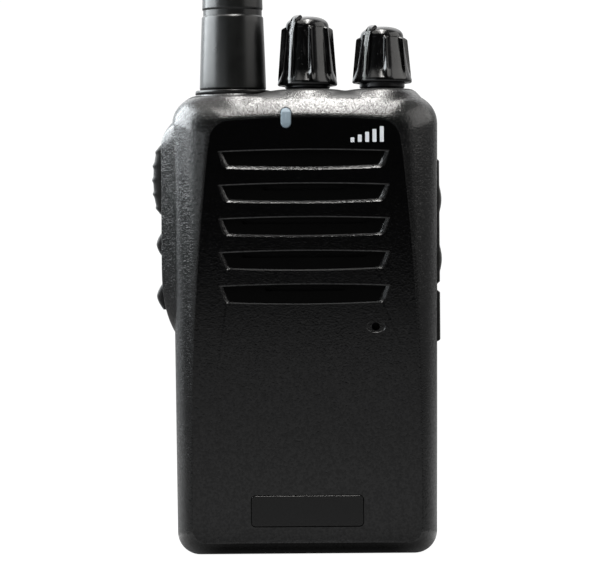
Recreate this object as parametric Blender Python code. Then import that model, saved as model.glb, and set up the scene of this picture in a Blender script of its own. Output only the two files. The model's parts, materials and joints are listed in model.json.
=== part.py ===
"""Hand-held two-way radio: front case, controls, side keys, antenna, battery pack and belt clip.

Metres, +Z up. The radio faces -Y and stands on its base at z = 0, with x = 0 and y = 0 in the
middle of its width and of its depth. Each piece is one object, and each moving piece hangs on an
empty that sits on its joint's axis.
"""

import math

import bmesh
import bpy
from mathutils import Vector

# Fits
FIT = 0.0003  # gap between pieces that seat on, fit in or slide past each other
OVERRUN = 0.001  # how far a cutter runs past the wall that it opens

# Front case: outline seen from the front. Sizes that end in DROP are measured down from its top.
CASE_HEIGHT = 0.1011
CASE_HALF_WIDTH_BOTTOM = 0.0285
CASE_HALF_WIDTH_TOP = 0.02925
CASE_BOTTOM_RADIUS = 0.005
CASE_TOP_RADIUS = 0.0062
CASE_TOP_CROWN = 0.0004
CASE_WALL = 0.002

# Depths, front to back
CASE_DEPTH = 0.021
BATTERY_DEPTH = 0.012
SLOPE_DEPTH = 0.0075  # depth of the sloped border around the flat front panel
SLOPE_ROUNDING = 1.25  # 1 makes the border a quarter ellipse, 2 a flat chamfer

# Flat front panel, which narrows towards the top
PANEL_HALF_WIDTH = 0.025
PANEL_TAPER = 0.0046
PANEL_TAPER_START = 0.020
PANEL_BOTTOM_MARGIN = 0.0029
PANEL_TOP_MARGIN = 0.0048
PANEL_BOTTOM_RADIUS = 0.003
PANEL_TOP_RADIUS = 0.0040
PANEL_TOP_CROWN = 0.0006

# Speaker slots
SLOT_COUNT = 5
SLOT_PITCH = 0.0073
SLOT_HEIGHT = 0.0038
SLOT_TOP_HALF_WIDTH = 0.0187
SLOT_BOTTOM_HALF_WIDTH = 0.0166
SLOT_BULGE = 0.0004
SLOT_DEPTH = 0.0010
SLOT_LIP = 0.0006  # run of the sloped lower and end walls of a slot
SLOT_CENTRE_DROP = 0.0295
SOUND_HOLE_HEIGHT = 0.0011
SOUND_HOLE_CIRCLE = 0.0141

# Speaker and microphone
SPEAKER_RADIUS = 0.018
SPEAKER_DROP = 0.0316
SPEAKER_RIM = 0.0022
SPEAKER_DEPTH = 0.007
SPEAKER_MAGNET_RADIUS = 0.0095
NET_THICKNESS = 0.0003
GASKET_THICKNESS = 0.0008
MIC_X = 0.0152
MIC_DROP = 0.05115
MIC_RADIUS = 0.002
MIC_LENGTH = 0.0018
MIC_BOOT_WALL = 0.0006
MIC_HOLE_RADIUS = 0.0009
MIC_DIMPLE_HALF_WIDTH = 0.0021
MIC_DIMPLE_HALF_HEIGHT = 0.0014
MIC_DIMPLE_DEPTH = 0.0005

# Indicator
LENS_X = -0.0041
LENS_DROP = 0.0055
LENS_WIDTH = 0.0023
LENS_HEIGHT = 0.0045
LENS_PROUD = 0.0002
LED_THICKNESS = 0.0012

# Bare name plate
PLATE_WIDTH = 0.0244
PLATE_HEIGHT = 0.0067
PLATE_THICKNESS = 0.0006
PLATE_RADIUS = 0.0009
PLATE_Z = 0.0098

# Controls on the top: knobs and antenna stand in one row
CONTROL_SETBACK = 0.0115  # from the front panel to the row
CONTROL_PITCH = 0.0165
CONTROL_X = 0.0007  # middle of the row
MOUND_HEIGHT = 0.0011
MOUND_TOP_RADIUS = 0.0064
MOUND_FOOT_RADIUS = 0.0083
CONTROL_BODY_HALF = 0.0047
CONTROL_BODY_HEIGHT = 0.0074
BUSHING_RADIUS = 0.0035
BUSHING_LENGTH_ABOVE_NUT = 0.0004
NUT_RADIUS = 0.005
NUT_THICKNESS = 0.0016
SHAFT_RADIUS = 0.0024
SHAFT_IN_KNOB = 0.0075

# Knobs
KNOB_RADIUS = 0.0066
KNOB_WAIST_RADIUS = 0.0056
KNOB_TOP_RADIUS = 0.0048
KNOB_WALL = 0.0010
KNOB_SKIRT = 0.0034
KNOB_DOME = 0.0026
KNOB_RIBS = 8
KNOB_RIB_ANGLE = 12.0
KNOB_RIB_FOOT_ANGLE = 17.0
KNOB_RIB_PROUD = 0.0008
KNOB_POINTER_ANGLE = -127.0  # direction of the pointer in the XY plane, towards the front and left
KNOB_FIN_WIDTH = 0.0014
KNOB_FIN_PROUD = 0.0005
VOLUME_KNOB_HEIGHT = 0.01535
VOLUME_KNOB_GAP = 0.0009
CHANNEL_KNOB_HEIGHT = 0.0125
CHANNEL_KNOB_GAP = 0.0014

# Antenna
ANTENNA_LENGTH = 0.096
ANTENNA_BASE_RADIUS = 0.00735
ANTENNA_COLLAR_LENGTH = 0.0163
ANTENNA_COLLAR_RADIUS = 0.00682
ANTENNA_GROOVE_WIDTH = 0.0015
ANTENNA_GROOVE_DEPTH = 0.0003
ANTENNA_TIP_RADIUS = 0.0046
ANTENNA_SEAT_RADIUS = 0.0088
WASHER_RADIUS = 0.0083
WASHER_THICKNESS = 0.0005
SOCKET_RADIUS = 0.0031
SOCKET_FLANGE_RADIUS = 0.005
SOCKET_FLANGE_THICKNESS = 0.0024
SOCKET_REACH = 0.0042  # how far the socket stands into the antenna's base
PLUG_WALL = 0.001
PLUG_CAP = 0.0016
PIN_RADIUS = 0.0006
COIL_RADIUS = 0.0026
COIL_WIRE_RADIUS = 0.00045
COIL_TURNS = 7
COIL_LENGTH = 0.045

# Rail on the left side that guards the push-to-talk bar and the side keys
RAIL_PROUD = 0.0026
RAIL_LOW_DROP = 0.0541
RAIL_HIGH_DROP = 0.0053
RAIL_LOW_RAMP = 0.0074
RAIL_HIGH_RAMP = 0.0052
RAIL_FRONT_LIP = 0.0021
RAIL_EDGE = 0.0007

# Keys in the rail
KEY_SETBACK = 0.0123  # from the front panel to the keys' middle line
KEY_FLANGE = 0.0008
KEY_FLANGE_LIP = 0.0011
PTT_DROP = 0.0186
PTT_LENGTH = 0.0157
PTT_WIDTH = 0.008
PTT_PROUD = 0.0021
PTT_TRAVEL = 0.001
PTT_RIDGES = 5
PTT_RIDGE_HEIGHT = 0.0003
SIDE_KEY_UPPER_DROP = 0.0328
SIDE_KEY_LOWER_DROP = 0.0442
SIDE_KEY_LENGTH = 0.0060
SIDE_KEY_WIDTH = 0.006
SIDE_KEY_PROUD = 0.0012
SWITCH_THICKNESS = 0.001
SWITCH_SIZE = 0.0036
SWITCH_BOARD_THICKNESS = 0.001

# Jack cover on the right side
JACK_SETBACK = 0.0116
JACK_UPPER_DROP = 0.0232
JACK_LOWER_DROP = 0.0363
JACK_BORE_RADIUS = 0.0018
JACK_WINDOW_RADIUS = 0.0026
JACK_BLOCK_WIDTH = 0.0066
JACK_BLOCK_DEPTH = 0.0072
JACK_BLOCK_MARGIN = 0.0045
COVER_LOW_DROP = 0.0546
COVER_HIGH_DROP = 0.0144
COVER_HINGE_DROP = 0.0426
COVER_WIDTH = 0.0076
COVER_PROUD = 0.0007
COVER_RECESS = 0.0008
COVER_BULGE = 0.0005
COVER_BULGE_LENGTH = 0.0060
COVER_PLUG_RADIUS = 0.0015
COVER_PLUG_LENGTH = 0.0012
COVER_NOTCH = 0.0012
COVER_WEB_GAP = 0.00015
SCREW_HEAD_RADIUS = 0.0019
SCREW_HEAD_THICKNESS = 0.0009
SCREW_SHANK_RADIUS = 0.00095

# Chassis and boards
CHASSIS_THICKNESS = 0.002
CHASSIS_GASKET_WIDTH = 0.0013
CHASSIS_GASKET_THICKNESS = 0.0012
STANDOFF_HEIGHT = 0.0022
STANDOFF_RADIUS = 0.0022
BOARD_THICKNESS = 0.0012
BOARD_LOW_Z = 0.0125
BOARD_HIGH_DROP = 0.0131
SHIELD_WIDTH = 0.024
SHIELD_HEIGHT = 0.030
SHIELD_DEPTH = 0.003
CASE_SCREW_X = 0.0195
CASE_SCREW_Z = 0.0066
CASE_BOSS_RADIUS = 0.0029
CASE_SCREW_LENGTH = 0.010
TERMINAL_WIDTH = 0.012
TERMINAL_HEIGHT = 0.006
TERMINAL_Z = 0.021

# Rear cover above the battery
REAR_EDGE = 0.0022
REAR_COVER_WALL = 0.0018
REAR_SCREW_X = 0.019
REAR_SCREW_DROP = 0.0086
REAR_SCREW_SINK = 0.0012
REAR_POCKET_HALF_WIDTH = 0.0135

# Battery pack
BATTERY_DROP = 0.0171
BATTERY_HALF_WIDTH = 0.0283
BATTERY_WALL = 0.0016
TRAY_THICKNESS = 0.0016
BEAD_RADIUS = 0.0011
BEAD_SETBACK = 0.0025  # from the back of the battery to the bead that the pack tilts on
BEAD_HALF_LENGTH = 0.020
GRIP_PROUD = 0.0009
GRIP_LOW_Z = 0.0071
GRIP_HIGH_Z = 0.0204
GRIP_EDGE = 0.0006
CELL_LOW_Z = 0.0085
CELL_HIGH_DROP = 0.0351
CELL_EDGE = 0.0015
PACK_BOARD_HALF_WIDTH = 0.020
PACK_BOARD_HEIGHT = 0.010
PACK_BOARD_THICKNESS = 0.0012

# Battery latch
LATCH_HALF_WIDTH = 0.0065
LATCH_NOSE_HALF_WIDTH = 0.0050
LATCH_NOSE_Z = 0.0043
LATCH_NOSE_HEIGHT = 0.0014
LATCH_NOSE_REACH = 0.0013  # how far the nose stands into the chassis
LATCH_PAD_HEIGHT = 0.0024
LATCH_PAD_LIFT = 0.0006
LATCH_STEM = 0.0014
LATCH_TRAVEL = 0.002
LATCH_SPRING_RADIUS = 0.0013
LATCH_SPRING_WIRE = 0.0003
LATCH_SPRING_TURNS = 5

# Belt clip
CLIP_PIN_DROP = 0.0331
CLIP_PIN_STANDOFF = 0.0047  # from the battery's back to the pin
CLIP_PIN_RADIUS = 0.001
CLIP_PIN_HEAD = 0.0006
CLIP_BRACKET_HALF_WIDTH = 0.0096
CLIP_BRACKET_BELOW_PIN = 0.0075
CLIP_BRACKET_ABOVE_PIN = 0.0105
CLIP_BRACKET_THICKNESS = 0.0016
CLIP_EAR_THICKNESS = 0.002
CLIP_EAR_HALF_HEIGHT = 0.0034
CLIP_SCREW_X = 0.0066
CLIP_SCREW_ABOVE_PIN = 0.0075
CLIP_SCREW_LENGTH = 0.0046
CLIP_BOSS_RADIUS = 0.0026
CLIP_BARREL_RADIUS = 0.0023
CLIP_ARM_THICKNESS = 0.0018
CLIP_GAP = 0.0049  # room for a belt between the battery's back and the arm
CLIP_TAB_ABOVE_PIN = 0.014
CLIP_BEND_BELOW_PIN = 0.032
CLIP_HEEL_BELOW_PIN = 0.0408
CLIP_TIP_BELOW_PIN = 0.048
CLIP_SPRING_HALF_WIDTH = 0.0022
CLIP_SPRING_WIRE = 0.0003
CLIP_SPRING_TURNS = 4

# Places that follow from the sizes above
FRONT_Y = -(CASE_DEPTH + BATTERY_DEPTH) / 2
SPLIT_Y = FRONT_Y + CASE_DEPTH
REAR_Y = SPLIT_Y + BATTERY_DEPTH
SHOULDER_Y = FRONT_Y + SLOPE_DEPTH
INNER_FRONT_Y = FRONT_Y + CASE_WALL
PANEL_HIGH_Z = CASE_HEIGHT - PANEL_TOP_MARGIN
SLOT_CENTRE_Z = CASE_HEIGHT - SLOT_CENTRE_DROP
SPEAKER_Z = CASE_HEIGHT - SPEAKER_DROP
MIC_Z = CASE_HEIGHT - MIC_DROP
LENS_Z = CASE_HEIGHT - LENS_DROP
RAIL_LOW_Z = CASE_HEIGHT - RAIL_LOW_DROP
RAIL_HIGH_Z = CASE_HEIGHT - RAIL_HIGH_DROP
PTT_Z = CASE_HEIGHT - PTT_DROP
SIDE_KEY_UPPER_Z = CASE_HEIGHT - SIDE_KEY_UPPER_DROP
SIDE_KEY_LOWER_Z = CASE_HEIGHT - SIDE_KEY_LOWER_DROP
JACK_UPPER_Z = CASE_HEIGHT - JACK_UPPER_DROP
JACK_LOWER_Z = CASE_HEIGHT - JACK_LOWER_DROP
COVER_LOW_Z = CASE_HEIGHT - COVER_LOW_DROP
COVER_HIGH_Z = CASE_HEIGHT - COVER_HIGH_DROP
COVER_HINGE_Z = CASE_HEIGHT - COVER_HINGE_DROP
BOARD_HIGH_Z = CASE_HEIGHT - BOARD_HIGH_DROP
REAR_SCREW_Z = CASE_HEIGHT - REAR_SCREW_DROP
BATTERY_TOP = CASE_HEIGHT - BATTERY_DROP
CELL_HIGH_Z = CASE_HEIGHT - CELL_HIGH_DROP
CLIP_PIN_Z = CASE_HEIGHT - CLIP_PIN_DROP
CLIP_BRACKET_LOW_Z = CLIP_PIN_Z - CLIP_BRACKET_BELOW_PIN
CLIP_BRACKET_HIGH_Z = CLIP_PIN_Z + CLIP_BRACKET_ABOVE_PIN
CLIP_SCREW_Z = CLIP_PIN_Z + CLIP_SCREW_ABOVE_PIN
CLIP_TOP_Z = CLIP_PIN_Z + CLIP_TAB_ABOVE_PIN
CLIP_BEND_Z = CLIP_PIN_Z - CLIP_BEND_BELOW_PIN
CLIP_HEEL_Z = CLIP_PIN_Z - CLIP_HEEL_BELOW_PIN
CLIP_TIP_Z = CLIP_PIN_Z - CLIP_TIP_BELOW_PIN
CONTROL_Y = FRONT_Y + CONTROL_SETBACK
VOLUME_X = CONTROL_X
CHANNEL_X = CONTROL_X + CONTROL_PITCH
ANTENNA_X = CONTROL_X - CONTROL_PITCH
KEY_Y = FRONT_Y + KEY_SETBACK
JACK_Y = FRONT_Y + JACK_SETBACK
MOUND_Z = CASE_HEIGHT + MOUND_HEIGHT
CHASSIS_REAR_Y = SPLIT_Y - FIT
CHASSIS_FRONT_Y = CHASSIS_REAR_Y - CHASSIS_THICKNESS
BOARD_REAR_Y = CHASSIS_FRONT_Y - STANDOFF_HEIGHT
BOARD_FRONT_Y = BOARD_REAR_Y - BOARD_THICKNESS
TRAY_FRONT_Y = SPLIT_Y + FIT
TRAY_REAR_Y = TRAY_FRONT_Y + TRAY_THICKNESS
COVER_FRONT_Y = TRAY_REAR_Y + FIT
BEAD_Y = REAR_Y - BEAD_SETBACK
CLIP_PIN_Y = REAR_Y + CLIP_PIN_STANDOFF
CLIP_PLATE_Y = REAR_Y + FIT
WASHER_LOW_Z = CASE_HEIGHT + FIT
ANTENNA_BASE_Z = WASHER_LOW_Z + WASHER_THICKNESS + FIT
PLUG_LOW_Z = ANTENNA_BASE_Z + FIT
SOCKET_TOP_Z = ANTENNA_BASE_Z + SOCKET_REACH
PLUG_BORE_RADIUS = SOCKET_RADIUS + FIT
PLUG_RADIUS = PLUG_BORE_RADIUS + PLUG_WALL
PLUG_CEILING_Z = SOCKET_TOP_Z + FIT
PLUG_TOP_Z = PLUG_CEILING_Z + PLUG_CAP

# Facets of round pieces
ROUND_STEPS = 24
SMALL_STEPS = 12
KNOB_STEPS_PER_RIB = 5
CORNER_STEPS = 4
SIDE_STEPS = 6
TOP_STEPS = 4
SLOPE_STEPS = 5

# Finishes: colour, roughness, metallic
FINISHES = {
    "case_plastic": ((0.018, 0.018, 0.019), 0.5, 0.0),
    "gloss_plastic": ((0.008, 0.008, 0.009), 0.15, 0.0),
    "black_rubber": ((0.014, 0.014, 0.014), 0.75, 0.0),
    "antenna_rubber": ((0.030, 0.031, 0.030), 0.5, 0.0),
    "lens": ((0.42, 0.50, 0.58), 0.25, 0.0),
    "plate": ((0.016, 0.016, 0.016), 0.35, 0.0),
    "cast_metal": ((0.42, 0.43, 0.44), 0.45, 1.0),
    "steel": ((0.55, 0.55, 0.56), 0.3, 1.0),
    "brass": ((0.66, 0.48, 0.22), 0.3, 1.0),
    "board": ((0.03, 0.14, 0.07), 0.5, 0.0),
    "net_cloth": ((0.006, 0.006, 0.006), 0.9, 0.0),
    "cone_paper": ((0.02, 0.02, 0.02), 0.8, 0.0),
    "cell_wrap": ((0.10, 0.16, 0.30), 0.4, 0.0),
}


# Scene helpers


def clear_scene():
    """Removes every object that is in the scene."""
    for obj in list(bpy.data.objects):
        bpy.data.objects.remove(obj)


def finish(name):
    """The named material, made on first use."""
    found = bpy.data.materials.get(name)
    if found:
        return found
    colour, roughness, metallic = FINISHES[name]
    made = bpy.data.materials.new(name)
    made.use_nodes = True
    shader = made.node_tree.nodes["Principled BSDF"]
    shader.inputs["Base Color"].default_value = (*colour, 1.0)
    shader.inputs["Roughness"].default_value = roughness
    shader.inputs["Metallic"].default_value = metallic
    return made


def pivot(name, place, parent=None):
    """An empty on a joint's axis. Its place is in world coordinates."""
    empty = bpy.data.objects.new(name, None)
    bpy.context.scene.collection.objects.link(empty)
    empty.parent = parent
    empty.location = Vector(place) - (world_place(parent) if parent else Vector())
    return empty


def world_place(obj):
    """Where an empty lies in world coordinates, through its parents."""
    place = Vector()
    while obj is not None:
        place += obj.location
        obj = obj.parent
    return place


def new_object(name, shape):
    """An object of a bmesh in world coordinates, with its faces pointing out."""
    bmesh.ops.recalc_face_normals(shape, faces=shape.faces)
    mesh = bpy.data.meshes.new(name)
    shape.to_mesh(mesh)
    shape.free()
    obj = bpy.data.objects.new(name, mesh)
    bpy.context.scene.collection.objects.link(obj)
    return obj


def piece(name, shape, material, home):
    """A named piece of the radio, hung on its home empty."""
    origin = world_place(home)
    bmesh.ops.translate(shape, verts=shape.verts, vec=-origin)
    obj = new_object(name, shape)
    obj.parent = home
    obj.data.materials.append(finish(material))
    obj.data.shade_smooth()
    obj.data.set_sharp_from_angle(angle=math.radians(35))
    return obj


def add_boolean(obj, shape, operation):
    """Cuts a shape out of a piece, or joins it on. The helper object is not shown."""
    helper = new_object(f"{obj.name}_{operation.lower()}_{len(obj.modifiers)}", shape)
    helper.hide_render = True
    helper.display_type = "WIRE"
    modifier = obj.modifiers.new(helper.name, "BOOLEAN")
    modifier.operation = operation
    modifier.object = helper


def cut(obj, *shapes):
    """Cuts each shape out of the piece."""
    for shape in shapes:
        add_boolean(obj, shape, "DIFFERENCE")


def join(obj, *shapes):
    """Joins each shape onto the piece."""
    for shape in shapes:
        add_boolean(obj, shape, "UNION")


# Shapes


def on_axis(axis, along, across, up):
    """A point from its place along an axis and its two places across it, in X, Y, Z order."""
    if axis == "X":
        return Vector((along, across, up))
    if axis == "Y":
        return Vector((across, along, up))
    return Vector((across, up, along))


def loft(rings, closed=False):
    """A solid through rings of points: capped at its ends, or closed into a ring-shaped solid."""
    shape = bmesh.new()
    loops = [[shape.verts.new(point) for point in ring] for ring in rings]
    pairs = list(zip(loops, loops[1:]))
    if closed:
        pairs.append((loops[-1], loops[0]))
    for first, second in pairs:
        for i in range(len(first)):
            j = (i + 1) % len(first)
            shape.faces.new((first[i], first[j], second[j], second[i]))
    if not closed:
        shape.faces.new(loops[0])
        shape.faces.new(loops[-1])
    return shape


def prism(outline, axis, low, high):
    """An outline drawn across an axis, extruded from low to high along it."""
    shape = bmesh.new()
    face = shape.faces.new([shape.verts.new(on_axis(axis, low, *point)) for point in outline])
    made = bmesh.ops.extrude_face_region(shape, geom=[face])["geom"]
    moved = [part for part in made if isinstance(part, bmesh.types.BMVert)]
    bmesh.ops.translate(shape, verts=moved, vec=on_axis(axis, high - low, 0, 0))
    return shape


def box(low, high, edge=0.0):
    """A box between two corners, with its edges rounded by edge."""
    outline = [(low[0], low[1]), (high[0], low[1]), (high[0], high[1]), (low[0], high[1])]
    shape = prism(outline, "Z", low[2], high[2])
    if edge:
        bmesh.ops.bevel(
            shape, geom=shape.edges[:], offset=edge, segments=2, profile=0.5, affect="EDGES"
        )
    return shape


def round_ring(axis, centre, radius, along, steps):
    """Points of a circle across an axis."""
    turns = [2 * math.pi * step / steps for step in range(steps)]
    return [
        on_axis(axis, along, centre[0] + radius * math.cos(a), centre[1] + radius * math.sin(a))
        for a in turns
    ]


def turned(axis, centre, profile, steps, closed=False):
    """A turned solid: profile holds (radius, place along the axis) in order along its surface."""
    return loft([round_ring(axis, centre, r, a, steps) for r, a in profile], closed)


def cylinder(axis, centre, radius, low, high, steps=SMALL_STEPS):
    """A plain cylinder along an axis."""
    return turned(axis, centre, [(radius, low), (radius, high)], steps)


def arc(centre, radius, start, end, steps):
    """Points of an arc, both ends included. Angles are in degrees."""
    turns = [math.radians(start + (end - start) * step / steps) for step in range(steps + 1)]
    return [(centre[0] + radius * math.cos(a), centre[1] + radius * math.sin(a)) for a in turns]


def crown(start, end, rise, steps):
    """Points of a parabola from start to end, both (u, v), which rises by rise in v at its middle."""
    points = []
    for step in range(steps + 1):
        t = step / steps
        v = start[1] + (end[1] - start[1]) * t + rise * 4 * t * (1 - t)
        points.append((start[0] + (end[0] - start[0]) * t, v))
    return points


def bow(start, end, rise, steps):
    """Points of half an ellipse from start to end, both (u, v), which rises by rise in v."""
    points = []
    for step in range(steps + 1):
        turn = math.pi * step / steps
        share = (1 - math.cos(turn)) / 2
        v = start[1] + (end[1] - start[1]) * share + rise * math.sin(turn)
        points.append((start[0] + (end[0] - start[0]) * share, v))
    return points


def swapped(points):
    """The same points with their two coordinates exchanged."""
    return [(v, u) for u, v in points]


def pill(centre, width, height, steps=6):
    """Outline of an upright slot with round ends."""
    reach = (height - width) / 2
    top = arc((centre[0], centre[1] + reach), width / 2, 0, 180, steps)
    return top + arc((centre[0], centre[1] - reach), width / 2, 180, 360, steps)


def rounded_rectangle(centre, width, height, radius, steps=3):
    """Outline of a rectangle with round corners."""
    x, z = width / 2 - radius, height / 2 - radius
    corners = [(x, z, 0), (-x, z, 90), (-x, -z, 180), (x, -z, 270)]
    points = []
    for dx, dz, start in corners:
        points += arc((centre[0] + dx, centre[1] + dz), radius, start, start + 90, steps)
    return points


# Outline of the case


def case_half_width(z):
    """Half the case's width at a height: the sides lean out a little towards the top."""
    share = z / CASE_HEIGHT
    return CASE_HALF_WIDTH_BOTTOM + (CASE_HALF_WIDTH_TOP - CASE_HALF_WIDTH_BOTTOM) * share


def case_top_z(x):
    """Height of the case's crowned top at a place across its width."""
    return CASE_HEIGHT - CASE_TOP_CROWN * (x / CASE_HALF_WIDTH_TOP) ** 2


def panel_half_width(z):
    """Half the flat front panel's width at a height."""
    share = max(0.0, z - PANEL_TAPER_START) / (PANEL_HIGH_Z - PANEL_TAPER_START)
    return PANEL_HALF_WIDTH - PANEL_TAPER * share**2


def front_outline(half_width, low, high, low_radius, high_radius, top_crown, inset=0.0):
    """Points (x, z) of a rounded outline seen from the front, symmetric about x = 0."""
    low, high = low + inset, high - inset
    low_radius, high_radius = max(low_radius - inset, FIT), max(high_radius - inset, FIT)
    low_centre, high_centre = low + low_radius, high - high_radius

    def half(z):
        return half_width(z) - inset

    right = arc((half(low_centre) - low_radius, low_centre), low_radius, -90, 0, CORNER_STEPS)
    for step in range(1, SIDE_STEPS):
        z = low_centre + (high_centre - low_centre) * step / SIDE_STEPS
        right.append((half(z), z))
    corner = arc((half(high_centre) - high_radius, high_centre), high_radius, 0, 90, CORNER_STEPS)
    top_start = corner[-1][0]
    for step in range(1, TOP_STEPS):
        corner.append((top_start * (1 - step / TOP_STEPS), high))
    reach = half(high_centre)
    right += [(x, z - top_crown * (x / reach) ** 2) for x, z in corner]
    middle = (0.0, high)
    left = [(-x, z) for x, z in reversed(right)]
    return right + [middle] + left


def case_outline(inset=0.0):
    """Outline of the case's straight side walls."""
    return front_outline(
        case_half_width, 0.0, CASE_HEIGHT, CASE_BOTTOM_RADIUS, CASE_TOP_RADIUS, CASE_TOP_CROWN, inset
    )


def panel_outline(inset=0.0):
    """Outline of the flat front panel."""
    return front_outline(
        panel_half_width,
        PANEL_BOTTOM_MARGIN,
        PANEL_HIGH_Z,
        PANEL_BOTTOM_RADIUS,
        PANEL_TOP_RADIUS,
        PANEL_TOP_CROWN,
        inset,
    )


def slope_share(step, steps):
    """(share of the inset, share of the depth) along the rounded border, from side wall to panel."""
    turn = math.pi / 2 * step / steps
    return 1 - math.cos(turn) ** SLOPE_ROUNDING, math.sin(turn) ** SLOPE_ROUNDING


def slope_y(z):
    """Depth of the case's outer face near the top of the panel, at a height."""
    if z <= PANEL_HIGH_Z:
        return FRONT_Y
    inset = (CASE_HEIGHT - z) / (CASE_HEIGHT - PANEL_HIGH_Z)
    turn = math.acos((1 - min(1.0, inset)) ** (1 / SLOPE_ROUNDING))
    return SHOULDER_Y - SLOPE_DEPTH * math.sin(turn) ** SLOPE_ROUNDING


def case_form(rear_y, front_y, shoulder_y, inset):
    """The case's form, inset from its outer faces: straight walls and a border that closes on the panel."""
    outer, panel = case_outline(inset), panel_outline(inset)
    rings = [[Vector((x, rear_y, z)) for x, z in outer]]
    for step in range(SLOPE_STEPS + 1):
        u, v = slope_share(step, SLOPE_STEPS)
        y = shoulder_y + (front_y - shoulder_y) * v
        rings.append(
            [
                Vector((ax + (bx - ax) * u, y, az + (bz - az) * u))
                for (ax, az), (bx, bz) in zip(outer, panel)
            ]
        )
    return loft(rings)


# Front case


def slot_outline(middle_z, inset_top, inset_rest):
    """Outline of one speaker slot: long top edge, shorter bottom edge, both a little bowed."""
    top_z = middle_z + SLOT_HEIGHT / 2 - inset_top
    bottom_z = middle_z - SLOT_HEIGHT / 2 + inset_rest
    top, bottom = SLOT_TOP_HALF_WIDTH - inset_rest, SLOT_BOTTOM_HALF_WIDTH - inset_rest
    upper = crown((top, top_z), (-top, top_z), SLOT_BULGE, 4)
    return upper + crown((-bottom, bottom_z), (bottom, bottom_z), -SLOT_BULGE, 4)


def slot_cutter(middle_z):
    """Cuts one slot with sloped lower and end walls."""
    mouth = SLOT_LIP * OVERRUN / SLOT_DEPTH
    front = slot_outline(middle_z, -mouth / 4, -mouth)
    floor = slot_outline(middle_z, SLOT_LIP / 4, SLOT_LIP)
    return loft(
        [
            [Vector((x, FRONT_Y - OVERRUN, z)) for x, z in front],
            [Vector((x, FRONT_Y + SLOT_DEPTH, z)) for x, z in floor],
        ]
    )


def slot_middles():
    """Heights of the slots, top one first."""
    top = SLOT_CENTRE_Z + SLOT_PITCH * (SLOT_COUNT - 1) / 2
    return [top - SLOT_PITCH * i for i in range(SLOT_COUNT)]


def sound_hole(middle_z):
    """Opening through the floor of one slot to the speaker, or None where the speaker ends."""
    high = middle_z + SLOT_HEIGHT / 2 - SLOT_LIP / 4
    offset = high - SOUND_HOLE_HEIGHT / 2 - SPEAKER_Z
    if abs(offset) >= SOUND_HOLE_CIRCLE - SLOT_LIP:
        return None
    reach = math.sqrt(SOUND_HOLE_CIRCLE**2 - offset**2)
    front = FRONT_Y + SLOT_DEPTH - OVERRUN / 2
    return box(
        (-reach, front, high - SOUND_HOLE_HEIGHT), (reach, INNER_FRONT_Y + OVERRUN, high)
    )


def rail_outline():
    """Side rail seen from the front: a low bar with ramps at both ends, on the case's left wall."""
    foot = case_half_width(RAIL_LOW_Z) - CASE_WALL / 2
    crest = case_half_width(PTT_Z) + RAIL_PROUD
    return [
        (-foot, RAIL_LOW_Z),
        (-crest, RAIL_LOW_Z + RAIL_LOW_RAMP),
        (-crest, RAIL_HIGH_Z - RAIL_HIGH_RAMP),
        (-foot, RAIL_HIGH_Z),
    ]


def rail_shape():
    """The rail, with rounded edges."""
    front = KEY_Y - PTT_WIDTH / 2 - FIT - RAIL_FRONT_LIP
    shape = prism(rail_outline(), "Y", front, SPLIT_Y)
    crest = -(case_half_width(RAIL_LOW_Z) + FIT)
    proud = [e for e in shape.edges if any(v.co.x < crest for v in e.verts)]
    bmesh.ops.bevel(shape, geom=proud, offset=RAIL_EDGE, segments=2, profile=0.5, affect="EDGES")
    return shape


def key_window(middle_z, length, width):
    """Window through the rail and the left wall for a key."""
    half_length, half_width = length / 2 + FIT, width / 2 + FIT
    outer = -(case_half_width(PTT_Z) + RAIL_PROUD + OVERRUN)
    inner = -(case_half_width(middle_z) - CASE_WALL - OVERRUN)
    return box(
        (outer, KEY_Y - half_width, middle_z - half_length),
        (inner, KEY_Y + half_width, middle_z + half_length),
    )


def cover_floor_x():
    """Place across the width of the recess's floor that the jack cover lies in."""
    return case_half_width(COVER_HINGE_Z) - COVER_RECESS


def jack_windows():
    """Holes through the right wall to the two jacks."""
    low, high = cover_floor_x() - CASE_WALL - OVERRUN, cover_floor_x() + OVERRUN
    return [
        cylinder("X", (JACK_Y, z), JACK_WINDOW_RADIUS, low, high)
        for z in (JACK_UPPER_Z, JACK_LOWER_Z)
    ]


def screw_bosses():
    """Two posts inside the front case that the chassis screws into."""
    root = FRONT_Y + CASE_WALL / 2
    return [
        cylinder("Y", (x, CASE_SCREW_Z), CASE_BOSS_RADIUS, root, CHASSIS_FRONT_Y - FIT)
        for x in (-CASE_SCREW_X, CASE_SCREW_X)
    ]


def boss_holes():
    """Screw holes in the two posts."""
    rear = CHASSIS_FRONT_Y + OVERRUN
    front = CHASSIS_REAR_Y - CASE_SCREW_LENGTH - OVERRUN
    return [
        cylinder("Y", (x, CASE_SCREW_Z), SCREW_SHANK_RADIUS + FIT, front, rear)
        for x in (-CASE_SCREW_X, CASE_SCREW_X)
    ]


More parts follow.
